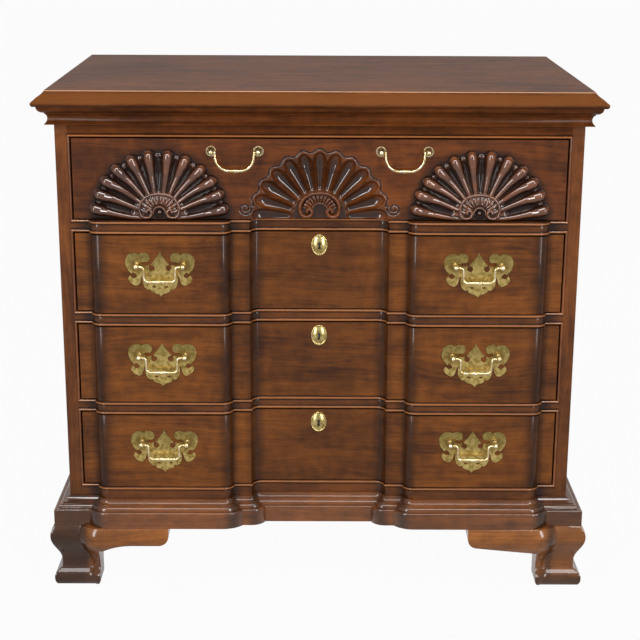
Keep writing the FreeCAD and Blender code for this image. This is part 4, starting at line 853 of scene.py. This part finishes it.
@dataclass
class Studio:
    """Pale floor, room, three soft lamps and the camera.

    Args:
        focal_pixels: Focal length in picture pixels.
        picture_pixels: Width of the picture in pixels.
        sensor: Width of the camera's sensor, in mm.
        place: The camera's place.
        pitch: How far the camera looks down, in degrees.
        yaw: How far it looks to the right, in degrees.
        roll: How far it leans, in degrees.
        side_power: Power of the left lamp, in watts.
        right_share: Share of that power that the right lamp has.
        over_power: Power of the lamp over the camera, in watts.
        aim_z: Height on the chest that the lamps aim at.
        floor_size: Width of the floor.
        floor_glow: How white the floor shows.
        front_share: How much of the white a mirror ray sees in front of the chest.
    """

    focal_pixels: float = 1492.06
    picture_pixels: float = 640.0
    sensor: float = 36.0
    place: tuple[float, float, float] = (-0.00977, -2.6179, 1.1535)
    pitch: float = 16.048
    yaw: float = 0.271
    roll: float = 0.268
    side_power: float = 52.0
    right_share: float = 0.92
    over_power: float = 44.0
    aim_z: float = 0.45
    floor_size: float = 90.0
    floor_glow: float = 0.96
    front_share: float = 0.36

    def camera(self) -> None:
        """Set the camera."""
        pitch, yaw, roll = (math.radians(angle) for angle in (self.pitch, self.yaw, self.roll))
        level = math.cos(pitch)
        ahead = Vector((math.sin(yaw) * level, math.cos(yaw) * level, -math.sin(pitch)))
        right = Vector((math.cos(yaw), -math.sin(yaw), 0))
        up = right.cross(ahead)
        across = math.cos(roll) * right + math.sin(roll) * up
        above = -math.sin(roll) * right + math.cos(roll) * up
        data = bpy.data.cameras.new("camera")
        data.sensor_width = self.sensor
        data.lens = self.focal_pixels * self.sensor / self.picture_pixels
        camera = bpy.data.objects.new("camera", data)
        turn = Matrix((across, above, -ahead)).transposed().to_4x4()
        camera.matrix_world = Matrix.Translation(self.place) @ turn
        bpy.context.scene.collection.objects.link(camera)
        bpy.context.scene.camera = camera

    def lamps(self) -> None:
        """Stand a tall soft lamp on each side in front, and hang a wide one over the camera."""
        for name, place, size, power in (
            ("lamp_left", (-1.75, -2.5, 1.35), (0.5, 2.4), self.side_power),
            ("lamp_right", (1.75, -2.5, 1.35), (0.5, 2.4), self.side_power * self.right_share),
            ("lamp_over", (0.0, -1.35, 2.75), (2.4, 0.6), self.over_power),
        ):
            data = bpy.data.lights.new(name, "AREA")
            data.shape = "RECTANGLE"
            data.energy = power
            data.size, data.size_y = size
            lamp = bpy.data.objects.new(name, data)
            aim = Vector((0, 0, self.aim_z)) - Vector(place)
            lamp.matrix_world = Matrix.Translation(place) @ aim.to_track_quat("-Z", "Y").to_matrix().to_4x4()
            bpy.context.scene.collection.objects.link(lamp)

    def seen(self, tree: bpy.types.NodeTree, behind: bpy.types.Node) -> bpy.types.Node:
        """Tell camera rays, see-through rays and mirror rays that go back from the rest.

        Args:
            tree: The tree that needs to know.
            behind: A node that gives 1 where the backdrop lies.

        Returns:
            A node that gives 1 for those rays, which show the backdrop.
        """
        path = add(tree, "LightPath", {}).outputs
        rays = {0: path["Is Camera Ray"], 1: path["Is Transmission Ray"]}
        straight = add(tree, "Math", rays, operation="MAXIMUM")
        mirrored = add(tree, "Math", {0: path["Is Glossy Ray"], 1: behind}, operation="MULTIPLY")
        return add(tree, "Math", {0: straight, 1: mirrored}, operation="MAXIMUM")

    def room(self) -> None:
        """Light the room evenly and show it pale behind the chest."""
        world = bpy.data.worlds.new("room")
        bpy.context.scene.world = world
        world.use_nodes = True
        tree = world.node_tree
        tree.nodes.clear()
        way = add(tree, "TexCoord", {}).outputs["Generated"]
        back = add(tree, "SeparateXYZ", {0: way}).outputs[1]
        back = add(
            tree,
            "MapRange",
            {"Value": back, "From Min": -0.1, "From Max": 0.5, "To Min": self.front_share},
            interpolation_type="SMOOTHSTEP",
        )
        dim = add(tree, "Background", {"Color": linear("#E9ECF2"), "Strength": 0.34})
        white = add(tree, "Background", {"Color": linear("#FFFFFF"), "Strength": 1.0})
        mix = add(tree, "MixShader", {0: self.seen(tree, back), 1: dim, 2: white})
        add(tree, "OutputWorld", {"Surface": mix})

    def floor(self) -> None:
        """Lay a pale floor that keeps the chest's shadow."""
        bpy.ops.mesh.primitive_plane_add(size=self.floor_size, location=(0, 0, 0))
        floor = bpy.context.object
        floor.name = "floor"
        material = bpy.data.materials.new("pale_floor")
        material.use_nodes = True
        tree = material.node_tree
        shader = tree.nodes["Principled BSDF"]
        shader.inputs["Base Color"].default_value = linear("#8C8886")
        shader.inputs["Roughness"].default_value = 0.9
        spot = add(tree, "TexCoord", {}).outputs["Object"]
        back = add(tree, "SeparateXYZ", {0: spot}).outputs[1]
        span = {"From Min": -0.6, "From Max": 0.2, "To Min": self.front_share}
        back = add(tree, "MapRange", {"Value": back, **span})
        glow = add(tree, "Emission", {"Color": linear("#FFFFFF"), "Strength": 1.0})
        share = add(tree, "Math", {0: self.seen(tree, back), 1: self.floor_glow}, operation="MULTIPLY")
        mix = add(tree, "MixShader", {0: share, 1: shader, 2: glow})
        tree.links.new(mix.outputs[0], tree.nodes["Material Output"].inputs["Surface"])
        floor.data.materials.append(material)

    def build(self) -> None:
        """Set up the whole studio."""
        self.camera()
        self.lamps()
        self.room()
        self.floor()


@dataclass
class Bench:
    """The pieces to be dressed and the finishes made so far, so that equal finishes share one.

    Args:
        nodes: The pieces by name.
        made: Each finish and its material.
    """

    nodes: dict[str, bpy.types.Object]
    made: dict[Finish, bpy.types.Material] = field(default_factory=dict)

    def dress(self, finishes: dict[str, Finish]) -> None:
        """Give pieces their finish in place of the plain one.

        Args:
            finishes: The pieces' names and their finishes. A name that the chest lacks is passed over.
        """
        for name, finish in finishes.items():
            if name not in self.nodes:
                continue
            if finish not in self.made:
                self.made[finish] = finish.build()
            mesh = self.nodes[name].data
            mesh.materials.clear()
            mesh.materials.append(self.made[finish])
            log.info("dressed %s", name)

    def ease(self, widths: dict[str, float], angle: float = 38.0) -> None:
        """Take the sharpness off pieces' edges.

        Args:
            widths: The pieces' names and the width of their rounding, in mm.
            angle: Edges sharper than this are rounded, in degrees.
        """
        for name, width in widths.items():
            weld = self.nodes[name].modifiers.new("weld", "WELD")
            weld.merge_threshold = 1e-5
            bevel = self.nodes[name].modifiers.new("ease", "BEVEL")
            bevel.width = width * MM
            bevel.segments = 2
            bevel.limit_method = "ANGLE"
            bevel.angle_limit = math.radians(angle)


@dataclass
class Carving:
    """The carved pieces of the top drawer.

    Args:
        raised: Shape of the applied shells.
        sunk: Shape of the shell cut into the front.
        raised_scroll: Scroll at an applied shell's foot.
        sunk_scroll: Scroll at the sunk shell's foot.
        half_block: Half the width of the carved block in the front's middle, in mm.
        fan_reach: Radius up to which the block's rings are round, in mm.
        proud: The most that a shell stands proud of the front, in mm.
        bed: Depth of the bed that the sunk scroll lies on, in mm.
    """

    raised: RaisedShell = RaisedShell()
    sunk: SunkShell = SunkShell()
    raised_scroll: Scroll = Scroll(3.0, 9.6)
    sunk_scroll: Scroll = Scroll(3.7, 13.6, 14.0, 7.0)
    half_block: float = 150.0
    fan_reach: float = 119.0
    proud: float = 16.9
    bed: float = 16.0

    def fan(self, turns: np.ndarray, rings: np.ndarray) -> tuple[np.ndarray, np.ndarray]:
        """Turn angles in degrees and radii in mm into places across and up."""
        return rings * np.cos(np.radians(turns)), rings * np.sin(np.radians(turns))

    def raised_mesh(self, side: int) -> list[bpy.types.Mesh]:
        """Carve one applied shell and its scroll.

        Args:
            side: -1 for the left shell and 1 for the right one.

        Returns:
            The fan and the scroll.
        """
        middle = side * SHELL_X
        turns = np.linspace(0, 180, 721)
        rings = np.concatenate([np.linspace(26, 54, 20), np.linspace(56, 92, 21), np.linspace(93, 115.2, 46)])
        r, turn = np.meshgrid(rings, turns, indexing="ij")
        high, dark = self.raised.height(r, turn)
        high = np.minimum(high, self.proud)
        x, z = self.fan(turn, r)
        points = np.stack([middle + x * MM, FACE_Y - high * MM, SHELL_Z + z * MM], axis=-1)
        fan = Sheet("shell_fan", len(turns), len(rings)).place(points, dark, FACE_Y + 0.0008)
        across = np.linspace(-36, 36, 181)
        up = np.linspace(0, 44, 111)
        z, x = np.meshgrid(up, across, indexing="ij")
        high = self.raised_scroll.height(x, z)
        # Painted shade: the scroll's low ground goes dark beside its raised band and gadroons.
        dark = 0.95 * (1 - ramp(high, 4.0, 8.8))
        points = np.stack([middle + x * MM, FACE_Y - high * MM, SHELL_Z + z * MM], axis=-1)
        scroll = Sheet("shell_scroll", len(across), len(up)).place(points, dark, FACE_Y + 0.0028)
        return [fan, scroll]

    def block_mesh(self) -> bpy.types.Mesh:
        """Carve the block in the middle of the top drawer's front.

        Returns:
            The block, in rings round the shell's middle that square up towards its edges.
        """
        tall = (FRONT_TOP - FRONT_BOTTOM) / MM
        corner = math.degrees(math.atan2(tall, self.half_block))
        turns = [np.arange(0, 14.7, 0.3), np.arange(15, 165.1, 0.6), np.arange(165.3, 180.1, 0.3)]
        turns = np.unique(np.concatenate([*turns, [corner, 180 - corner]]).round(5))
        inner = [np.linspace(0, 38, 11), np.linspace(39, 60, 24), np.linspace(62, 94, 17)]
        inner = np.concatenate([*inner, np.linspace(94.5, self.fan_reach, 54)])
        to_side = self.half_block / np.maximum(np.abs(np.cos(np.radians(turns))), 1e-6)
        to_top = tall / np.maximum(np.sin(np.radians(turns)), 1e-6)
        edge = np.minimum(to_side, to_top)
        share = np.linspace(0, 1, 43)[1:]
        outer = self.fan_reach + share[:, None] * (edge[None, :] - self.fan_reach)
        r = np.concatenate([np.repeat(inner[:, None], len(turns), axis=1), outer])
        turn = np.broadcast_to(turns, r.shape)
        depth, dark = self.sunk.depth(r, turn)
        x, z = self.fan(turn, r)
        points = np.stack([x * MM, FACE_Y + depth * MM, FRONT_BOTTOM + z * MM], axis=-1)
        return Sheet("carved_middle", len(turns), len(r)).place(points, dark, FRONT_BACK_Y)

    def sunk_scroll_mesh(self) -> bpy.types.Mesh:
        """Carve the scroll at the sunk shell's foot.

        Returns:
            The scroll.
        """
        across = np.linspace(-37, 37, 186)
        up = np.linspace(0, 45, 113)
        z, x = np.meshgrid(up, across, indexing="ij")
        high = self.sunk_scroll.height(x, z)
        # Painted shade: the sunk scroll's low ground goes dark.
        dark = 0.9 * (1 - ramp(high, 6.0, 11.0))
        points = np.stack([x * MM, FACE_Y + (self.bed - high) * MM, FRONT_BOTTOM + z * MM], axis=-1)
        return Sheet("carved_scroll", len(across), len(up)).place(points, dark, FACE_Y + 0.019)

    def wing(self, node: bpy.types.Object, side: int) -> bpy.types.Mesh:
        """Cut one end of the plain front off beside the carved block.

        Args:
            node: The plain front.
            side: -1 for the left end and 1 for the right one.

        Returns:
            The end, closed where it was cut.
        """
        end = bmesh.new()
        end.from_mesh(node.data)
        bmesh.ops.remove_doubles(end, verts=end.verts, dist=1e-6)
        every = [*end.verts, *end.edges, *end.faces]
        place = (side * self.half_block * MM, 0, 0)
        cut = bmesh.ops.bisect_plane(
            end, geom=every, plane_co=place, plane_no=(side, 0, 0), clear_inner=True
        )
        rim = [edge for edge in cut["geom_cut"] if isinstance(edge, bmesh.types.BMEdge)]
        bmesh.ops.holes_fill(end, edges=rim, sides=0)
        mesh = bpy.data.meshes.new("wing")
        end.to_mesh(mesh)
        end.free()
        return mesh

    def join(self, name: str, meshes: list[bpy.types.Mesh]) -> bpy.types.Object:
        """Put meshes together as one piece.

        Args:
            name: The piece's name.
            meshes: Closed meshes in place.

        Returns:
            The new object, riding on the top drawer.
        """
        whole = bmesh.new()
        for part in meshes:
            whole.from_mesh(part)
            bpy.data.meshes.remove(part)
        mesh = bpy.data.meshes.new(name)
        whole.to_mesh(mesh)
        whole.free()
        piece = bpy.data.objects.new(name, mesh)
        bpy.context.scene.collection.objects.link(piece)
        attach(piece, "drawer_1")
        return piece

    def build(self, front: bpy.types.Object) -> dict[str, bpy.types.Object]:
        """Make the carved pieces in place of the plain ones.

        Args:
            front: The plain front of the top drawer.

        Returns:
            The new pieces by name.
        """
        middle = [self.block_mesh(), self.sunk_scroll_mesh()]
        wings = [self.wing(front, -1), self.wing(front, 1)]
        pieces = [self.join("drawer_1_carved_front", [*middle, *wings])]
        for side, word in ((-1, "left"), (1, "right")):
            pieces.append(self.join(f"drawer_1_shell_{word}", self.raised_mesh(side)))
        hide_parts("drawer_1_front")
        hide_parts("drawer_1_shells")
        return {piece.name: piece for piece in pieces}

    def finishes(self) -> dict[str, Finish]:
        """Give the carved pieces' finishes, whose lacquer is thin in the applied shells' hollows, so their
        reflections darken with the painted shade, and thick in the sunk shell's flutes, which strengthens the
        highlights there.

        Returns:
            The finish of each carved piece.
        """
        finishes = {
            "drawer_1_carved_front": Mahogany(
                "mahogany_carved_front",
                Grain.ALONG_X,
                pale="#743C13",
                dark="#341808",
                shift=14.7,
                # The mesh's glazing and painted shade, with painted shadow round the applied shells.
                attribute="glaze_and_shade",
                shadow_halo=0.013,
                specular=0.04,
                coat=0.6,
                gloss=0.06,
                film=1.6,
                thin=1.5,
            )
        }
        for word, shift in (("left", 31.0), ("right", 37.0)):
            finishes[f"drawer_1_shell_{word}"] = Mahogany(
                f"mahogany_shell_{word}",
                Grain.ALONG_X,
                pale="#804824",
                dark="#3A1C0D",
                shift=shift,
                roughness=0.3,
                # The mesh's glazing and painted shade, where thin lacquer also dims the hollows' reflections.
                attribute="glaze_and_shade",
                specular=0.06,
                coat=1.0,
                gloss=0.06,
                film=1.8,
                thin=0.3,
            )
        return finishes


@dataclass
class Case:
    """The case: top, sides, rails, mouldings, feet, back and what is inside.

    Args:
        bench: Where its pieces are dressed.
        easing: Width of the rounding on its edges, in mm.
    """

    bench: Bench
    easing: dict[str, float] = field(
        default_factory=lambda: {
            "top_board": 0.6,
            "bottom_rail": 0.5,
            "base_moulding_front": 0.6,
            "front_foot_left": 0.8,
            "front_foot_right": 0.8,
            "cornice_front": 0.4,
            "side_panel_left": 0.6,
            "side_panel_right": 0.6,
            "back_panel": 0.5,
            "divider_rail_1": 0.4,
            "divider_rail_2": 0.4,
            "divider_rail_3": 0.4,
        }
    )

    def blocked_finishes(self) -> dict[str, Finish]:
        """Give the finishes of the rails, mouldings and feet that follow the blocked front.

        Returns:
            The finish of each of them.
        """
        rail = Mahogany(
            "mahogany_blocked_rail",
            Grain.ALONG_X,
            pale="#6A3A14",
            dark="#33190A",
            shift=3.1,
            glaze_and_shade=RAIL_GLAZE_AND_SHADE,
            ridges=RAIL_RIDGES,
            coat=0.4,
            gloss=0.07,
        )
        # The base's ends darken with painted shade, beside the glazing and painted shade of the rails.
        base = Mahogany(
            "mahogany_base",
            Grain.ALONG_X,
            pale="#7E481E",
            dark="#44240F",
            shift=6.6,
            glaze_and_shade=RAIL_GLAZE_AND_SHADE,
            outer=(0.380, 0.396, 0.56),
            coat=0.8,
            gloss=0.07,
            film=1.6,
        )
        # The left foot's outer face is in shade: painted shade darkens it, and its toe.
        left_foot = Mahogany(
            "mahogany_left_foot",
            Grain.ALONG_X,
            pale="#955923",
            dark="#562F12",
            shift=7.7,
            outer=(0.386, 0.402, 0.78),
            low_shade=(0.010, 0.055, 0.7),
            coat=0.6,
            gloss=0.06,
        )
        # The right foot is lit more than the left, so its outer face darkens less, with a band of painted
        # shade in its crease and painted shade at its toe.
        right_foot = Mahogany(
            "mahogany_right_foot",
            Grain.ALONG_X,
            pale="#9C5E24",
            dark="#5A3213",
            shift=8.9,
            glaze_and_shade=(GlazeAndShade(0.398, 0.016, 0.74),),
            outer=(0.386, 0.402, 0.34),
            low_shade=(0.010, 0.045, 0.7),
            coat=0.7,
            gloss=0.06,
        )
        rails = {f"divider_rail_{number}": rail for number in (1, 2, 3)}
        feet = {"front_foot_left": left_foot, "front_foot_right": right_foot}
        return {**rails, "bottom_rail": rail, "base_moulding_front": base, **feet}

    def plain_finishes(self) -> dict[str, Finish]:
        """Give the finishes of the case's other pieces.

        Returns:
            The finish of each of them.
        """
        # The top's moulded front edge gets a painted highlight band, and its front arris a painted highlight
        # line.
        top = Mahogany(
            "mahogany_top",
            Grain.ALONG_X,
            pale="#6C3F22",
            dark="#3A2012",
            shift=5.4,
            ridges=Ridges((0.8375,), 0.0107, 0.020, 0.8),
            painted_highlight="#6A3E1C",
            arris=0.8479,
            roughness=0.46,
            specular=0.03,
            coat=0.0,
        )
        # The bead under the cornice gets a painted highlight and painted shade in its quirks.
        frieze = Mahogany(
            "mahogany_cornice",
            Grain.ALONG_X,
            pale="#733D16",
            dark="#371B0A",
            shift=4.2,
            ridges=Ridges((0.7751,)),
            roughness=0.42,
            specular=0.06,
            coat=0.1,
        )
        # The sides darken towards the floor with painted shade.
        upright = Mahogany(
            "mahogany_upright", Grain.ALONG_Z, "#834B20", "#472510", 1.3, low_shade=(0.14, 0.80, 0.38)
        )
        beads = Mahogany(
            "mahogany_stile_beads", Grain.ALONG_Z, "#864F2A", "#542D15", 9.3, coat=0.8, gloss=0.08
        )
        back = Mahogany("mahogany_front_to_back", Grain.ALONG_Y, shift=2.2)
        inner = PlainWood("secondary_wood_across", Grain.ALONG_X)
        return {
            "top_board": top,
            "side_panel_left": upright,
            "side_panel_right": upright,
            "stile_beads": beads,
            "cornice_front": frieze,
            "top_rail": frieze,
            "cornice_returns": back,
            "base_moulding_returns": back,
            "rear_foot_left": back,
            "rear_foot_right": back,
            "back_panel": PlainWood("back_boards", Grain.ALONG_X, "#B48A58", "#6E4A2A", 0.172),
            "bottom_board": inner,
            "drawer_stops": inner,
            "rear_top_rail": inner,
            "drawer_runners": PlainWood("secondary_wood_front_to_back", Grain.ALONG_Y),
        }

    def build(self) -> None:
        """Ease and dress the case."""
        self.bench.ease(self.easing)
        self.bench.dress(self.blocked_finishes())
        self.bench.dress(self.plain_finishes())


@dataclass
class Drawer:
    """A drawer with its front, box, pulls and lock.

    Args:
        bench: Where its pieces are dressed.
        number: 1 for the top drawer to 4 for the lowest.
        box_easing: Width of the rounding on the box's edges, in mm.
        front_easing: Width of the rounding on a blocked front's edges, in mm.
        plate_easing: Width of the rounding on the plates' edges, in mm.
    """

    bench: Bench
    number: int
    box_easing: float = 0.5
    front_easing: float = 0.7
    plate_easing: float = 0.38

    def finishes(self) -> dict[str, Finish]:
        """Give the finishes of the drawer's pieces.

        Returns:
            The finish of each of them.
        """
        name = f"drawer_{self.number}"
        blocked = self.number in PULL_HEIGHTS
        shift = 10.0 + 4.7 * self.number
        glaze_and_shade = BLOCK_GLAZE_AND_SHADE if blocked else ()
        across = PlainWood("secondary_wood_across", Grain.ALONG_X)
        brass = Metal("polished_brass")
        finishes = {
            f"{name}_front": Mahogany(f"mahogany_{name}_front", Grain.ALONG_X, shift=shift, glaze_and_shade=glaze_and_shade),
            f"{name}_shells": Mahogany("mahogany_across", Grain.ALONG_X),
            f"{name}_sides": PlainWood("secondary_wood_front_to_back", Grain.ALONG_Y),
            f"{name}_back": across,
            f"{name}_bottom": across,
            f"{name}_pull_posts": brass,
            f"{name}_bail_left": brass,
            f"{name}_bail_right": brass,
            f"{name}_escutcheon": Metal("escutcheon_brass", "#DCC88A", "#9C864C", 0.24),
            f"{name}_lock": Metal("lock_steel", "#9A9A98", "#6E6E6C", 0.35),
        }
        if blocked:
            # The plates get painted brown shade round their posts.
            plates = Metal(
                f"plate_brass_{self.number}", "#E0C67C", "#9C8344", 0.27, PULL_HEIGHTS[self.number]
            )
            finishes[f"{name}_pull_plates"] = plates
        return finishes

    def build(self) -> None:
        """Ease and dress the drawer."""
        name = f"drawer_{self.number}"
        self.bench.ease({f"{name}_sides": self.box_easing, f"{name}_back": self.box_easing})
        if self.number in PULL_HEIGHTS:
            self.bench.ease({f"{name}_front": self.front_easing, f"{name}_pull_plates": self.plate_easing})
        self.bench.dress(self.finishes())


def main() -> None:
    """Build the studio, carve the top drawer and dress the chest."""
    logging.basicConfig(level=logging.INFO)
    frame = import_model()
    Studio().build()
    carving = Carving()
    carved = carving.build(frame["nodes"]["drawer_1_front"])
    bench = Bench({**frame["nodes"], **carved})
    bench.dress(carving.finishes())
    Case(bench).build()
    for number in (1, 2, 3, 4):
        Drawer(bench, number).build()
    log.info("%d pieces, %d finishes", len(bench.nodes), len(bench.made))
    bpy.context.scene.view_settings.view_transform = "Standard"


if __name__ == "__main__":
    main()
